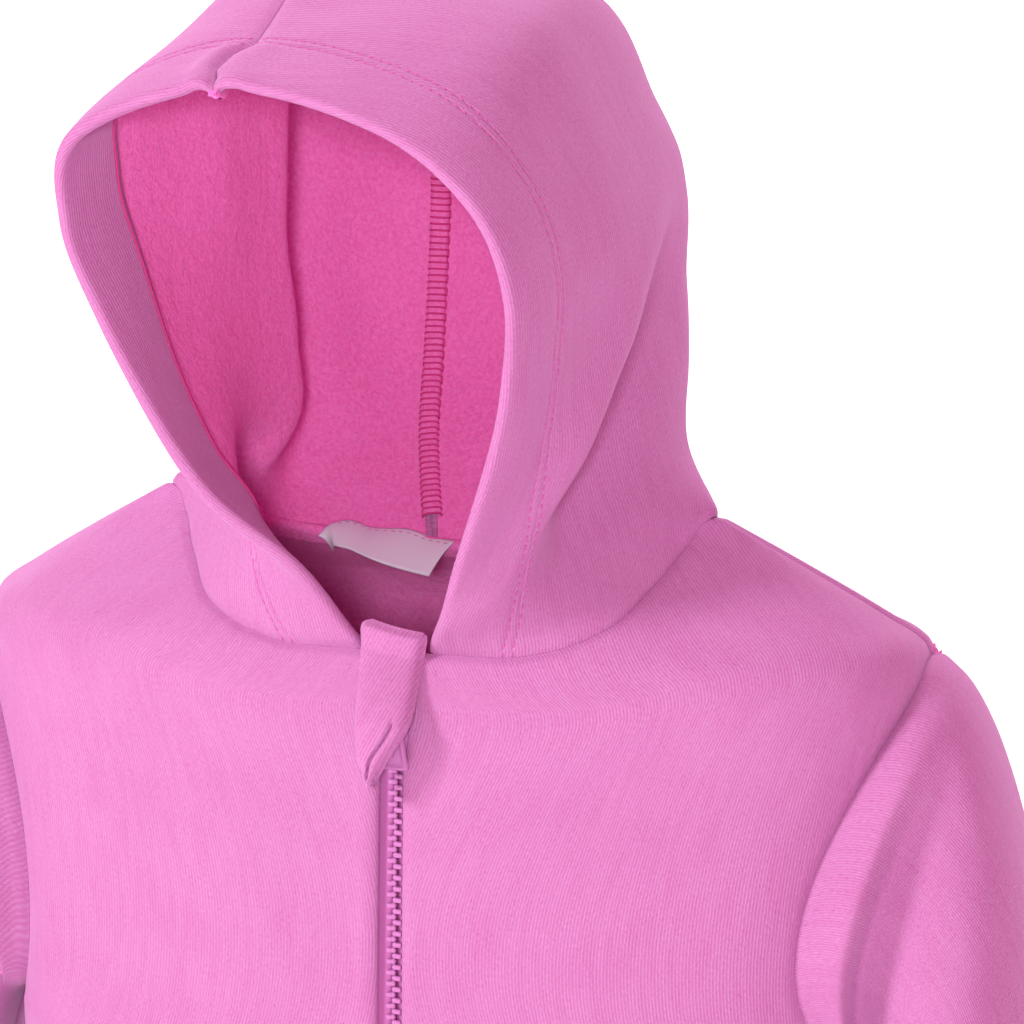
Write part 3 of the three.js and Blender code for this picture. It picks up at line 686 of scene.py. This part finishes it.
def fleece_material():
    material, tree, shader = new_material("napped_fleece")
    n = Nodes(tree)
    place = n.add("ShaderNodeTexCoord").outputs["Object"]
    nap = n.noise(place, 900.0, 4.0, 0.7)
    tuft = n.noise(place, 240.0)
    tint = n.mix_colour(n.spread(nap, 0.3, 0.7), colour(236, 106, 190), colour(248, 146, 216))
    tree.links.new(tint, shader.inputs["Base Color"])
    height = n.math("ADD", nap, n.math("MULTIPLY", tuft, 1.6))
    tree.links.new(n.bump(height, 0.7, 0.0007), shader.inputs["Normal"])
    shader.inputs["Roughness"].default_value = 1.0
    shader.inputs["Specular IOR Level"].default_value = 0.1
    shader.inputs["Sheen Weight"].default_value = 0.35
    shader.inputs["Sheen Roughness"].default_value = 0.6
    shader.inputs["Sheen Tint"].default_value = colour(255, 170, 220)
    return material


def plain_material(name, tint, roughness, grain=0.0, size=900.0, depth=0.0001):
    material, tree, shader = new_material(name)
    n = Nodes(tree)
    place = n.add("ShaderNodeTexCoord").outputs["Object"]
    speck = n.noise(place, size, 3.0)
    darker = tuple(c * 0.82 for c in tint[:3]) + (1.0,)
    mixed = n.mix_colour(n.math("MULTIPLY", speck, grain), tint, darker)
    tree.links.new(mixed, shader.inputs["Base Color"])
    tree.links.new(n.bump(speck, 0.25, depth), shader.inputs["Normal"])
    shader.inputs["Roughness"].default_value = roughness
    return material


jersey = jersey_material()
fleece = fleece_material()
zip_plastic = plain_material("zip_plastic", colour(190, 122, 184), 0.38, 0.3)
zip_cloth = plain_material("zip_cloth", colour(182, 104, 168), 0.8, 0.5, 1800.0)
satin = plain_material("label_satin", colour(222, 226, 236), 0.42, 0.2, 1500.0)
thread = plain_material("sewing_thread", colour(206, 104, 176), 0.7, 0.4, 2500.0)
overlock_thread = plain_material("overlock_thread", colour(214, 62, 142), 0.8, 0.5, 2500.0)


def as_cloth(node):
    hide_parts(node)


def as_trim(piece):
    return piece


# Body panels

SIDE_STEPS, ARM_STEPS = 110, 66
SHOULDER_SHARES = np.concatenate([np.linspace(0, 0.93, 20), [0.95, 0.966, 0.979, 0.99, 1.0]])


def side_edge(side, face):
    """Shares and heights up a panel's outer edge: side seam, armhole, shoulder seam."""
    low = np.linspace(HEM_Z, ARMPIT_Z, SIDE_STEPS + 1)[:-1]
    turn = np.linspace(180, 0, ARM_STEPS + 1)
    arm_share, arm_z = armhole(turn, side, face)
    top = SHOULDER_Z * (1 - SHOULDER_SHARES[1:])
    share = np.concatenate([np.ones(len(low)), arm_share, np.ones(len(top))])
    return share, np.concatenate([low, arm_z, top])


def centre_heights(top):
    low = np.linspace(HEM_Z, ARMPIT_Z, SIDE_STEPS + 1)[:-1]
    middle = np.linspace(ARMPIT_Z, top - 14, ARM_STEPS + 1)
    return np.concatenate([low, middle, top - 14 * (1 - SHOULDER_SHARES[1:])])


def body_grid(side, face, shares, centre_x):
    """Share and height of every grid point between the centre and the outer edge."""
    top = FRONT_NECK_Z if face == "front" else BACK_NECK_Z
    edge_share, edge_z = side_edge(side, face)
    start_z = centre_heights(top)
    f = shares[None, :]
    arm_rise = 0.88 * np.linspace(0, 1, ARM_STEPS + 1)
    rise = np.concatenate([np.zeros(SIDE_STEPS), arm_rise, 0.88 + 0.12 * SHOULDER_SHARES[1:]])
    top_z = neck_height(f, face)
    corner_z = top + (0 - top) * f
    z = start_z[:, None] + (edge_z - start_z)[:, None] * f
    z = z + rise[:, None] ** 1.6 * (top_z - corner_z)
    first = share_of_x(centre_x, ring_width(z)) if centre_x else np.zeros_like(z)
    low = np.maximum(f, first)
    share = low * (1 + (edge_share[:, None] - 1) * low)
    return np.where(low <= first, first, share), z


def seam_fade(*distances):
    return np.clip(np.minimum.reduce(distances) / 14, 0, 1)


def edge_shares(count):
    """Even shares that grow finer towards the outer edge."""
    return np.concatenate([np.linspace(0.022, 0.965, count), [0.976, 0.985, 0.991, 0.996, 1.0]])


def hem_lines(points, normals, edge_depth, gap=2.8):
    """Two lines of stitches along a grid's first row, that far up from it."""
    up = arc_lengths(points, 0)
    lines = []
    for depth in (edge_depth, edge_depth - gap):
        line = []
        for j in range(points.shape[1]):
            both = with_normals(points[:, j], normals[:, j])
            line.append([np.interp(depth, up[:, j], both[:, k]) for k in range(6)])
        lines.append(np.array(line))
    return lines


def front_panel(side, name, node):
    shares = np.concatenate([[0.0], edge_shares(74)])
    share, z = body_grid(side, "front", shares, ZIP_HALF_GAP)
    points = body_point(share, z, side, "front")
    normals = grid_normals(points, points - np.array([0, 10.0, 0]))
    across, up = arc_lengths(points, 1), arc_lengths(points, 0)
    to_side, to_neck = across[:, -1:] - across, up[-1:, :] - up
    swell = smooth_noise(points[..., 0], points[..., 2] * 0.35, 11 + side, 60.0)
    rolled = 0.5 * hill(across, 3.0, 2.5) - 1.2 * np.exp(-((across / 0.8) ** 2))
    push = 0.6 * swell * seam_fade(to_side, to_neck) + rolled
    points = points + normals * push[..., None]
    points = sink(points, to_side, body_direction(points, side))
    points = sink(points, to_neck, neck_direction(points))
    stitches = hem_lines(points, normals, 20.0)
    points, normals = with_allowance(points, normals, "top", neck_direction(points[-1]))
    way = body_direction(points[:, -1], side)
    points, normals = with_allowance(points, normals, "right", way)
    inwards = normals[:, 0] + np.array([0.0, 0.0, 0.0])
    points, normals = with_allowance(points, normals, "left", inwards)
    points, normals = turned_hem(points, normals, 20.0, "row")
    cut = flat_cut(points)
    piece = sheet_mesh(name, points, cut, [jersey, fleece], away_from(0, 10, -180))
    thicken(piece, CLOTH)
    as_cloth(node)
    return stitches


def back_panel():
    half = np.concatenate([[0.0], edge_shares(84)])
    rows = {}
    for side in (1, -1):
        share, z = body_grid(side, "back", half, 0)
        rows[side] = body_point(share, z, side, "back")
    points = np.concatenate([rows[1][:, ::-1], rows[-1][:, 1:]], axis=1)
    normals = grid_normals(points, points - np.array([0, 10.0, 0]))
    across, up = arc_lengths(points, 1), arc_lengths(points, 0)
    to_left, to_right, to_neck = across, across[:, -1:] - across, up[-1:, :] - up
    swell = smooth_noise(points[..., 0], points[..., 2] * 0.4, 23, 70.0)
    push = 0.8 * swell * seam_fade(to_left, to_right, to_neck)
    points = points + normals * push[..., None]
    aside = np.minimum(to_left, to_right)
    drop = 3.4 * ease((aside - 1.5) / 8) * np.exp(-((aside / 40) ** 2))
    drop = drop * ease((points[..., 2] + 62) / 18)
    points[..., 2] -= drop * ease(to_neck / 8)
    points = sink(points, to_left, body_direction(points, 1))
    points = sink(points, to_right, body_direction(points, -1))
    points = sink(points, to_neck, neck_direction(points))
    stitches = hem_lines(points, normals, 20.0)
    points, normals = with_allowance(points, normals, "top", neck_direction(points[-1]))
    points, normals = with_allowance(points, normals, "left", body_direction(points[:, 0], 1))
    points, normals = with_allowance(points, normals, "right", body_direction(points[:, -1], -1))
    points, normals = turned_hem(points, normals, 20.0, "row")
    piece = sheet_mesh(
        "back_cloth", points, flat_cut(points), [jersey, fleece], away_from(0, 10, -180)
    )
    thicken(piece, CLOTH)
    as_cloth("back")
    return stitches


# Sleeves


def sleeve_points(rings, turns, side):
    table = np.array(SLEEVE_RINGS, float)
    padded = np.concatenate([2 * table[:1] - table[1:2], table, 2 * table[-1:] - table[-2:-1]])
    i = np.clip(np.floor(rings).astype(int), 0, len(table) - 2)
    f = (rings - i)[:, None]
    p0, p1, p2, p3 = (padded[i + k] for k in range(4))
    row = 0.5 * (
        2 * p1
        + (p2 - p0) * f
        + (2 * p0 - 5 * p1 + 4 * p2 - p3) * f * f
        + (3 * p1 - p0 - 3 * p2 + p3) * f**3
    )
    ix, iz, ox, oz, depth, cy, own, fold = (row[:, k : k + 1] for k in range(8))
    own = np.clip(own, 0, 1)
    q = np.radians(turns)[None, :]
    seam = np.zeros((len(turns), 3))
    for face in ("front", "back"):
        here = (turns <= 180) if face == "front" else (turns > 180)
        share, z = armhole(turns[here], side, face)
        seam[here] = body_point(share, z, 1, face)
    oval = np.stack(
        [
            (ix + ox) / 2 + (ox - ix) / 2 * np.cos(q),
            cy - depth * np.sin(q) + 0 * ix,
            (iz + oz) / 2 + (oz - iz) / 2 * np.cos(q),
        ],
        -1,
    )
    carried = seam[None] + np.stack([ix - 127, 0 * ix, 0 * ix], -1)
    points = carried * (1 - own[..., None]) + oval * own[..., None]
    k = np.asarray(rings)[:, None]
    before, after = np.maximum(0, 3.55 - k), np.maximum(0, k - 3.55)
    valley = 9.0 * np.exp(-((before / 0.55) ** 2) - (after / 1.8) ** 2)
    roll = smooth_column(ROLL_SHARE, 1, turns)[None] * (2.8 * hill(k, 2.2, 0.8) - valley)
    push = fold * np.maximum(0, np.sin(q)) ** 1.5 + roll
    points[..., 1] -= push
    points[..., 0] += push * 0.5
    points[..., 0] *= side
    return points


def sleeve_cloth(side, name, node):
    last = len(SLEEVE_RINGS) - 1
    near = np.array([1.0, 0.8, 0.62, 0.46, 0.32, 0.2, 0.1, 0.0])
    rings = np.concatenate([np.linspace(last, 5, 86)[:-1], np.linspace(5, 1, 60)[:-1], near])
    turns = (np.linspace(180.001, 539.999, 133)) % 360
    points = sleeve_points(rings, turns, side)
    centre = points[:, :-1].mean(1, keepdims=True)
    normals = grid_normals(points, points - centre)
    wrap = unit(normals[:, :1] + normals[:, -1:])
    normals[:, :1] = wrap
    normals[:, -1:] = wrap
    up, around = arc_lengths(points, 0), arc_lengths(points, 1)
    to_join, to_armhole = np.minimum(around, around[:, -1:] - around), up[-1:] - up
    swell = smooth_noise(around * 0.8, up, 31 + side, 55.0)
    push = 0.7 * swell * seam_fade(to_join, to_armhole)
    push -= 0.8 * np.exp(-((to_join / 1.4) ** 2)) * ease(to_armhole / 8)
    points = points + normals * push[..., None]
    points = sink(points, to_armhole, body_direction(points, side))
    stitches = hem_lines(points, normals, 20.0)
    points, normals = with_allowance(points, normals, "top", body_direction(points[-1], side))
    points, normals = turned_hem(points, normals, 20.0, "row")
    cut = turned_cut(flat_cut(points), 24 * side)
    piece = sheet_mesh(name, points, cut, [jersey, fleece], away_from(side * 155, 10, -200))
    thicken(piece, CLOTH)
    as_cloth(node)
    return stitches


# Hood

HOOD_MIDDLE = np.array([-10.0, 5.0, 60.0])
HOOD_T = np.concatenate(
    [[0, 0.015, 0.035, 0.06, 0.1, 0.15], np.linspace(0.2, 6.85, 136), [6.9, 6.94, 6.965, 6.985, 7]]
)
HEM_DEPTH, NEEDLE_GAP = 20.5, 2.6
HEM_STOPS = np.concatenate(
    [np.arange(0, 17.5, 1.4), np.arange(17.5, 21.4, 0.35), np.arange(21.6, 26, 1.1)]
)
SEAM_STOPS = np.array([6, 4, 2.8, 1.9, 1.2, 0.6, 0])
FREE_COLUMNS = 92


def hood_shares(side):
    """Shares for each height whose columns keep their distance from both edges."""
    fine = np.linspace(0, 1, 400)
    length = arc_lengths(hood_plain(HOOD_T, fine, side), 1)
    rows = []
    for row in length:
        free = np.linspace(HEM_STOPS[-1], row[-1] - SEAM_STOPS[0], FREE_COLUMNS + 2)[1:-1]
        stops = np.concatenate([HEM_STOPS, free, row[-1] - SEAM_STOPS])
        rows.append(np.interp(stops, row, fine))
    return np.array(rows)


def hood_surface(t, u, side):
    points = hood_plain(t, u, side)
    normals = grid_normals(points, points - HOOD_MIDDLE)
    return points + normals * hood_fold(t, u, side)[..., None]


def hood_seam_directions():
    """Ways out along the centre seam and the crown seam, the mean of both panels."""
    centre, crown = [], []
    for side in (1, -1):
        points = hood_surface(HOOD_T, hood_shares(side), side)
        normals = grid_normals(points, points - HOOD_MIDDLE)
        centre.append(normals[:, -1])
        crown.append(normals[-1])
    return unit(sum(centre)), unit(sum(crown))


CENTRE_OUT, CROWN_OUT = hood_seam_directions()


def hood_cloth(side, name, node):
    u = hood_shares(side)
    points = hood_surface(HOOD_T, u, side)
    normals = grid_normals(points, points - HOOD_MIDDLE)
    across, up = arc_lengths(points, 1), arc_lengths(points, 0)
    to_centre, to_crown = across[:, -1:] - across, up[-1:] - up
    t = HOOD_T[:, None]
    swell = smooth_noise(across, up * 0.5, 47 + side, 45.0)
    push = 0.6 * swell * seam_fade(up, to_centre, to_crown)
    puffed = 2.0 * ease(t / 0.8) * (1 if side > 0 else ease((t - 5) / 2))
    push = push + puffed * np.exp(-((across / 13) ** 2))
    grooves = hill(across, HEM_DEPTH, 0.45) + hill(across, HEM_DEPTH - NEEDLE_GAP, 0.45)
    push = push - 0.35 * grooves * ease(up / 4) * ease(to_crown / 4)
    points = points + normals * push[..., None]
    lobe = (0.5 + 0.5 * ease(across / 6)) * ease((20 - across) / 9)
    overlap = ease((21 - across) / 3) * np.exp(-((to_crown / 3) ** 2))
    moved = np.zeros_like(points)
    moved[..., 0] = -4.4 * lobe * np.exp(-((to_crown / 12) ** 2))
    moved[..., 2] = (0.5 if side > 0 else -0.2) * overlap
    points = sink(points, to_centre, CENTRE_OUT[:, None])
    points = sink(points, to_crown, CROWN_OUT[None])
    in_hem = ease((21 - across) / 5)
    seam_swell = 0.9 * hill(to_crown, 5.5, 3) - 0.9 * np.exp(-((to_crown / 1.8) ** 2))
    points = points + CROWN_OUT[None] * (seam_swell * in_hem)[..., None]
    points = sink(points, up, neck_direction(points))
    lines = []
    for depth in (HEM_DEPTH, HEM_DEPTH - NEEDLE_GAP):
        column = int(np.argmin(np.abs(HEM_STOPS - depth)))
        line = with_normals(points[:, column] + moved[:, column], normals[:, column])
        lines.append(line[2:-2])
    looper = hem_looper(points, normals, side)
    more = len(ALLOWANCE)
    inner = (0.25 + 0.75 * ease((across[0] - 21) / 4))[:, None]
    foot_out = neck_direction(points[0]) * inner
    points, normals = with_allowance(points, normals, "bottom", foot_out)
    inner = (0.25 + 0.75 * ease((across[-1] - 21) / 4))[:, None]
    points, normals = with_allowance(points, normals, "top", CROWN_OUT * inner)
    way = np.concatenate([CENTRE_OUT[:1].repeat(more, 0), CENTRE_OUT, CENTRE_OUT[-1:].repeat(more, 0)])
    points, normals = with_allowance(points, normals, "right", way)
    moved = np.pad(moved, ((more, more), (0, more), (0, 0)), mode="edge")
    points, normals = turned_hem(points, normals, HEM_DEPTH + 1.0, "column", moved)
    piece = sheet_mesh(name, points, flat_cut(points), [jersey, fleece], away_from(-10, 5, 60))
    thicken(piece, CLOTH)
    as_cloth(node)
    return lines, looper


def hem_looper(points, normals, side):
    """Two crossing zigzags of looper thread over the hem's cut edge inside."""
    columns = {}
    for offset in (-1.0, 1.6):
        column = int(np.argmin(np.abs(HEM_STOPS - (HEM_DEPTH + offset))))
        depth = 2 * FOLD + 0.25 if offset < 0 else 2 * FOLD - CLOTH + 0.2
        line = points[:, column] - normals[:, column] * depth
        columns[offset] = resample(line[2:-2], 0.9)
    count = min(len(c) for c in columns.values())
    near, far = columns[-1.0][:count], columns[1.6][:count]
    paths = []
    for phase in (0, 2):
        share = np.abs(((np.arange(count) + phase) % 4) - 2)[:, None] / 2
        paths.append(near + (far - near) * share)
    paths.append(near)
    paths.append(far)
    return paths


def thread_tubes(name, paths, radius, material):
    bm = bmesh.new()
    for path in paths:
        lay_grid(bm, tube_points(path, radius, 5), None, None, joined=True)
    bmesh.ops.recalc_face_normals(bm, faces=bm.faces[:])
    return new_piece(name, bm, [material])


stitches = []
stitches += front_panel(1, "front_left_cloth", "front_left")
stitches += front_panel(-1, "front_right_cloth", "front_right")
stitches += back_panel()
stitches += sleeve_cloth(1, "sleeve_left_cloth", "sleeve_left")
stitches += sleeve_cloth(-1, "sleeve_right_cloth", "sleeve_right")
loopers = []
for side, word in ((1, "left"), (-1, "right")):
    lines, looper = hood_cloth(side, f"hood_{word}_cloth", f"hood_{word}")
    stitches += lines
    loopers += looper
as_trim(stitch_rows("twin_needle_stitches", stitches))
as_trim(thread_tubes("hem_looper_thread", loopers, 0.32, overlock_thread))

# Overlocked seams inside the hood


def overlock_band(name, line, inward, across, width=(-3.2, 2.6), height=2.1):
    """A padded strip over a seam's allowance, with thread laid to and fro across it."""
    offsets = np.linspace(width[0], width[1], 11)
    middle, half = sum(width) / 2, (width[1] - width[0]) / 2
    rise = height * (1 - np.abs((offsets - middle) / half) ** 4) ** 0.5 - 0.3
    strip = line[:, None] + across[:, None] * offsets[None, :, None]
    strip = strip + inward[:, None] * rise[None, :, None]
    towards = away_from(*HOOD_MIDDLE)
    piece = sheet_mesh(name, strip, flat_cut(strip), [fleece, fleece], lambda p: -towards(p))
    thicken(piece, 0.5)
    as_trim(piece)
    both = resample(np.concatenate([line, inward, across], -1), 0.46)
    path, step = [], 0
    for k, row in enumerate(both):
        spot, into, way = row[:3], unit(row[3:6]), unit(row[6:])
        place = (k // 4) % 2
        if k % 4 == 0:
            stops = offsets if place == 0 else offsets[::-1]
            for f, a in zip(np.linspace(0, 1, len(stops)), stops):
                lift = height * (1 - abs((a - middle) / half) ** 4) ** 0.5 - 0.12
                path.append(spot + way * a + into * lift)
        elif k % 4 < 3:
            a = offsets[-1] if place == 0 else offsets[0]
            path.append(spot + way * a - into * 0.1)
    as_trim(thread_tubes(name + "_thread", [np.array(path)], 0.3, overlock_thread))


centre_line = hood_surface(HOOD_T, hood_shares(-1), -1)[:, -1]
slope = unit(np.gradient(centre_line, axis=0))
overlock_band(
    "centre_seam_band",
    (centre_line - CENTRE_OUT * CLOTH)[6:-3],
    -CENTRE_OUT[6:-3],
    unit(np.cross(slope, CENTRE_OUT))[6:-3],
)
neck_share = np.linspace(0.62, 1, 60)
right_neck = hood_plain(np.array([0.0]), neck_share, -1)[0]
left_neck = hood_plain(np.array([0.0]), neck_share[::-1], 1)[0]
neck_curve = np.concatenate([right_neck, left_neck[1:]])
neck_out = neck_direction(neck_curve)
slope = unit(np.gradient(neck_curve, axis=0))
overlock_band(
    "neck_seam_band",
    neck_curve - neck_out * CLOTH,
    -neck_out,
    unit(np.cross(slope, neck_out)),
)

# Chin guard: a padded shield over the zip's top, with a rolled lip down its right edge:
# height, left x, right x, stand-off in front of the body
GUARD_ROWS = [
    (-66.4, -4.6, -2.4, 8.2),
    (-63.8, -5.8, -0.6, 8.3),
    (-60.5, -6.9, 1.2, 8.5),
    (-57.5, -7.3, 3.0, 8.7),
    (-54.5, -7.5, 5.0, 8.8),
    (-51.9, -7.7, 6.5, 8.6),
    (-49.0, -7.9, 7.7, 8.2),
    (-45.5, -8.1, 8.1, 6.8),
    (-40.2, -8.5, 8.2, 4.6),
    (-33.5, -9.1, 8.3, 3.1),
    (-29.6, -9.3, 8.7, 3.0),
    (-27.9, -8.9, 9.0, 3.1),
    (-26.8, -7.8, 8.9, 3.1),
    (-25.9, -5.8, 7.9, 3.1),
]


def chin_guard():
    z = np.concatenate([np.linspace(-66.4, -28.2, 84), np.linspace(-27.9, -25.9, 10)])[:, None]
    left, right, ahead = (smooth_column(GUARD_ROWS, k, z) for k in (1, 2, 3))
    f = 0.5 - 0.5 * np.cos(np.linspace(0, math.pi, 48))[None]
    x = left + (right - left) * f
    low = ease((-46.5 - z) / 4)
    wide = 2.2 + 2.0 * ease((z + 66) / 8)
    to_right = right - x
    lip = np.maximum(0, 1 - (2 * to_right / wide - 1) ** 2) ** 0.5
    lift = 1.3 * low * lip - 1.9 * low * hill(to_right, wide + 0.2, 0.4)
    edge = np.minimum.reduce([x - left, right - x, z[-1] - z + 0 * x, z - z[0] + 0 * x])
    lift = lift + 0.9 * ease(edge / 3.2) - 1.7 * (1 - ease(edge / 1.7))
    y = front_y(0 * z, np.minimum(z, FRONT_NECK_Z)) - ahead - 1.2 * np.sin(math.pi * f) - lift
    slope = -0.2 * (x - 1) * ease((z + 48) / 20)
    points = np.stack([x, y, z + slope], -1)
    cut = turned_cut(np.stack([x, z + 0 * x], -1), 28)
    piece = sheet_mesh("chin_guard_cloth", points, cut, [jersey, jersey], away_from(1, 30, -45))
    thicken(piece, 2.2, 0)
    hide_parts("chin_guard")


chin_guard()

# Zip: moulded teeth on woven tapes, slider and pull

TOOTH_PITCH = 3.05
CHAIN_TOP, CHAIN_BOTTOM = -64.5, -369.0


def zip_teeth(side, name):
    bm = bmesh.new()
    z = CHAIN_TOP - (TOOTH_PITCH / 2 if side > 0 else 0)
    while z > CHAIN_BOTTOM:
        y = float(front_y(0, z)) + 1.5
        body = Matrix.Translation(Vector((ZIP_X + side * 1.2, y, z)) * MM)
        made = bmesh.ops.create_cube(bm, size=1, matrix=body @ Matrix.Diagonal((1.7 * MM, 1.5 * MM, 1.25 * MM, 1)))
        edges = list({e for v in made["verts"] for e in v.link_edges})
        bmesh.ops.bevel(bm, geom=edges, offset=0.3 * MM, segments=2, profile=0.5, affect="EDGES")
        head = Matrix.Translation(Vector((ZIP_X + side * 0.25, y, z)) * MM)
        bmesh.ops.create_icosphere(
            bm, subdivisions=2, radius=1, matrix=head @ Matrix.Diagonal((0.85 * MM, 0.75 * MM, 0.85 * MM, 1))
        )
        z -= TOOTH_PITCH
    return as_trim(new_piece(name, bm, [zip_plastic]))


def zip_tape(side, name, node):
    heights = np.linspace(HEM_Z + 1.5, -37, 150)[:, None]
    out = np.linspace(0, 1, 10)[None]
    open_top = ease((heights + 64) / 3)
    inner = 0.5 + 1.2 * open_top
    x = inner + (12 - inner) * out
    cord = 0.55 * hill(x, inner + 0.9, 0.7)
    y = front_y(x, heights + 0 * x) + 2.5 - cord
    points = np.stack([ZIP_X + side * x, y, heights + 0 * x], -1)
    piece = sheet_mesh(name, points, flat_cut(points), [zip_cloth, zip_cloth], away_from(0, 10, -200))
    thicken(piece, 0.6)
    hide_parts(node)


zip_teeth(1, "zip_teeth_left")
zip_teeth(-1, "zip_teeth_right")
zip_tape(1, "zip_tape_left_cloth", "zip_tape_left")
zip_tape(-1, "zip_tape_right_cloth", "zip_tape_right")

HINGE = np.array([ZIP_X, float(front_y(0, -56.5)) - 3.6, -54.0])


def pull_tab():
    """A plate that widens downwards, with a raised border and a sunken middle."""
    z = np.concatenate([[1.35, 1.2, 0.9], np.linspace(0.4, -8.0, 22), [-8.4, -8.75, -9.0]])[:, None]
    half = 3.4 + 1.6 * (1.35 - z) / 9.85
    half = half - 0.7 * (1 - ease((z + 9) / 0.7)) - 0.5 * (1 - ease((1.35 - z) / 0.7))
    f = np.sin(np.linspace(-math.pi / 2, math.pi / 2, 27))[None]
    x = half * f
    edge = np.minimum.reduce([half - np.abs(x), z + 9 + 0 * x, 1.35 - z + 0 * x])
    border = 0.5 * hill(edge, 0.75, 0.5)
    y = -0.45 - border + 0.35 * (1 - ease(edge / 0.4))
    points = np.stack([x, y, z + 0 * x], -1) + HINGE
    piece = sheet_mesh("pull_tab_plate", points, flat_cut(points), [zip_plastic], away_from(1, 20, -58))
    thicken(piece, 1.0, 0)
    return piece


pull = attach(pull_tab(), "pull_tab")
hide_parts("zip_pull")

# Label: bare satin hanging from the back neck seam, its free end curling forwards

LABEL_TOP = [
    (-5.5, 32, -20.3),
    (-11.8, 33, -20.0),
    (-20, 33, -17.9),
    (-28.4, 32, -18.0),
    (-35.7, 31, -16.0),
    (-39.9, 28, -16.6),
    (-42.7, 24.5, -19.6),
]
LABEL_BOTTOM = [
    (-10.9, 25, -29.2),
    (-15.5, 24, -28.0),
    (-21.5, 23, -26.4),
    (-28, 22, -24.0),
    (-33.5, 22, -22.0),
    (-37.4, 22.5, -21.6),
    (-38.9, 25.5, -24.0),
]


def neck_label():
    at = np.linspace(0, 6, 60)
    place = np.arange(7)

    def path(rows):
        table = np.concatenate([place[:, None], np.array(rows, float)], 1)
        return np.stack([smooth_column(table, k, at) for k in (1, 2, 3)], -1)

    top, bottom = path(LABEL_TOP), path(LABEL_BOTTOM)
    down = np.linspace(0, 1, 16)[:, None, None]
    points = top[None] * (1 - down) + bottom[None] * down
    points[..., 2] += 0.9 * np.sin(math.pi * down[..., 0])
    piece = sheet_mesh("neck_label_satin", points, flat_cut(points), [satin, satin])
    thicken(piece, 0.35)
    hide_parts("neck_label")
    out = np.zeros_like(points) + np.array([0.0, -0.8, 0.6])
    line = with_normals(points[2], out[2])[3:-14]
    as_trim(stitch_rows("label_stitches", [line], 2.2, 1.5, 0.14))


neck_label()

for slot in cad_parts["zip_slider"].material_slots:
    slot.material = zip_plastic

# Floor, light and camera


def flat_stage(name, z, size, tint):
    bm = bmesh.new()
    bmesh.ops.create_grid(bm, x_segments=1, y_segments=1, size=size)
    bmesh.ops.translate(bm, verts=bm.verts, vec=(0, 0, z))
    floor = new_piece(name, bm, [plain_material(name + "_paint", tint, 0.9)], body=None, smooth=False)


flat_stage("floor", -0.42, 30.0, colour(252, 252, 252))


def area_light(name, place, target, size, power):
    light = bpy.data.lights.new(name, "AREA")
    light.shape = "DISK"
    light.size = size
    light.energy = power
    lamp = bpy.data.objects.new(name, light)
    lamp.location = place
    lamp.rotation_euler = (Vector(target) - Vector(place)).to_track_quat("-Z", "Y").to_euler()
    bpy.context.scene.collection.objects.link(lamp)


area_light("key", (-1.5, -1.4, 1.0), (0, 0, 0), 0.5, 36)
area_light("front", (0.5, -2.22, 0.52), (-0.02, 0, 0.02), 0.3, 24)
area_light("floor_light", (0, 5.6, 4.2), (0, 5.6, -0.4), 7.0, 760)

world = bpy.data.worlds.new("studio")
world.use_nodes = True
world.node_tree.nodes["Background"].inputs[0].default_value = (1, 0.2, 0.45, 1)
world.node_tree.nodes["Background"].inputs[1].default_value = 0.52
bpy.context.scene.world = world
bpy.context.scene.view_settings.view_transform = "Standard"

VIEW_TURN, VIEW_RISE, DISTANCE, SCALE = math.radians(16), math.radians(13), 1300.0, 3.72
ORIGIN_PX = (440.0, 495.0)


def place_camera():
    a, e = VIEW_TURN, VIEW_RISE
    right = Vector((math.cos(a), math.sin(a), 0))
    up = Vector((-math.sin(a) * math.sin(e), math.cos(a) * math.sin(e), math.cos(e)))
    back = Vector((math.sin(a) * math.cos(e), -math.cos(a) * math.cos(e), math.sin(e)))
    data = bpy.data.cameras.new("camera")
    data.lens = 36 * DISTANCE / (1024 / SCALE)
    data.clip_start, data.clip_end = 0.05, 80
    camera = bpy.data.objects.new("camera", data)
    aside, above = (512 - ORIGIN_PX[0]) / SCALE, (512 - ORIGIN_PX[1]) / SCALE
    spot = back * DISTANCE + right * aside - up * above
    turn = Matrix((right, up, back)).transposed().to_4x4()
    camera.matrix_world = Matrix.Translation(spot * MM) @ turn
    bpy.context.scene.collection.objects.link(camera)
    bpy.context.scene.camera = camera


place_camera()
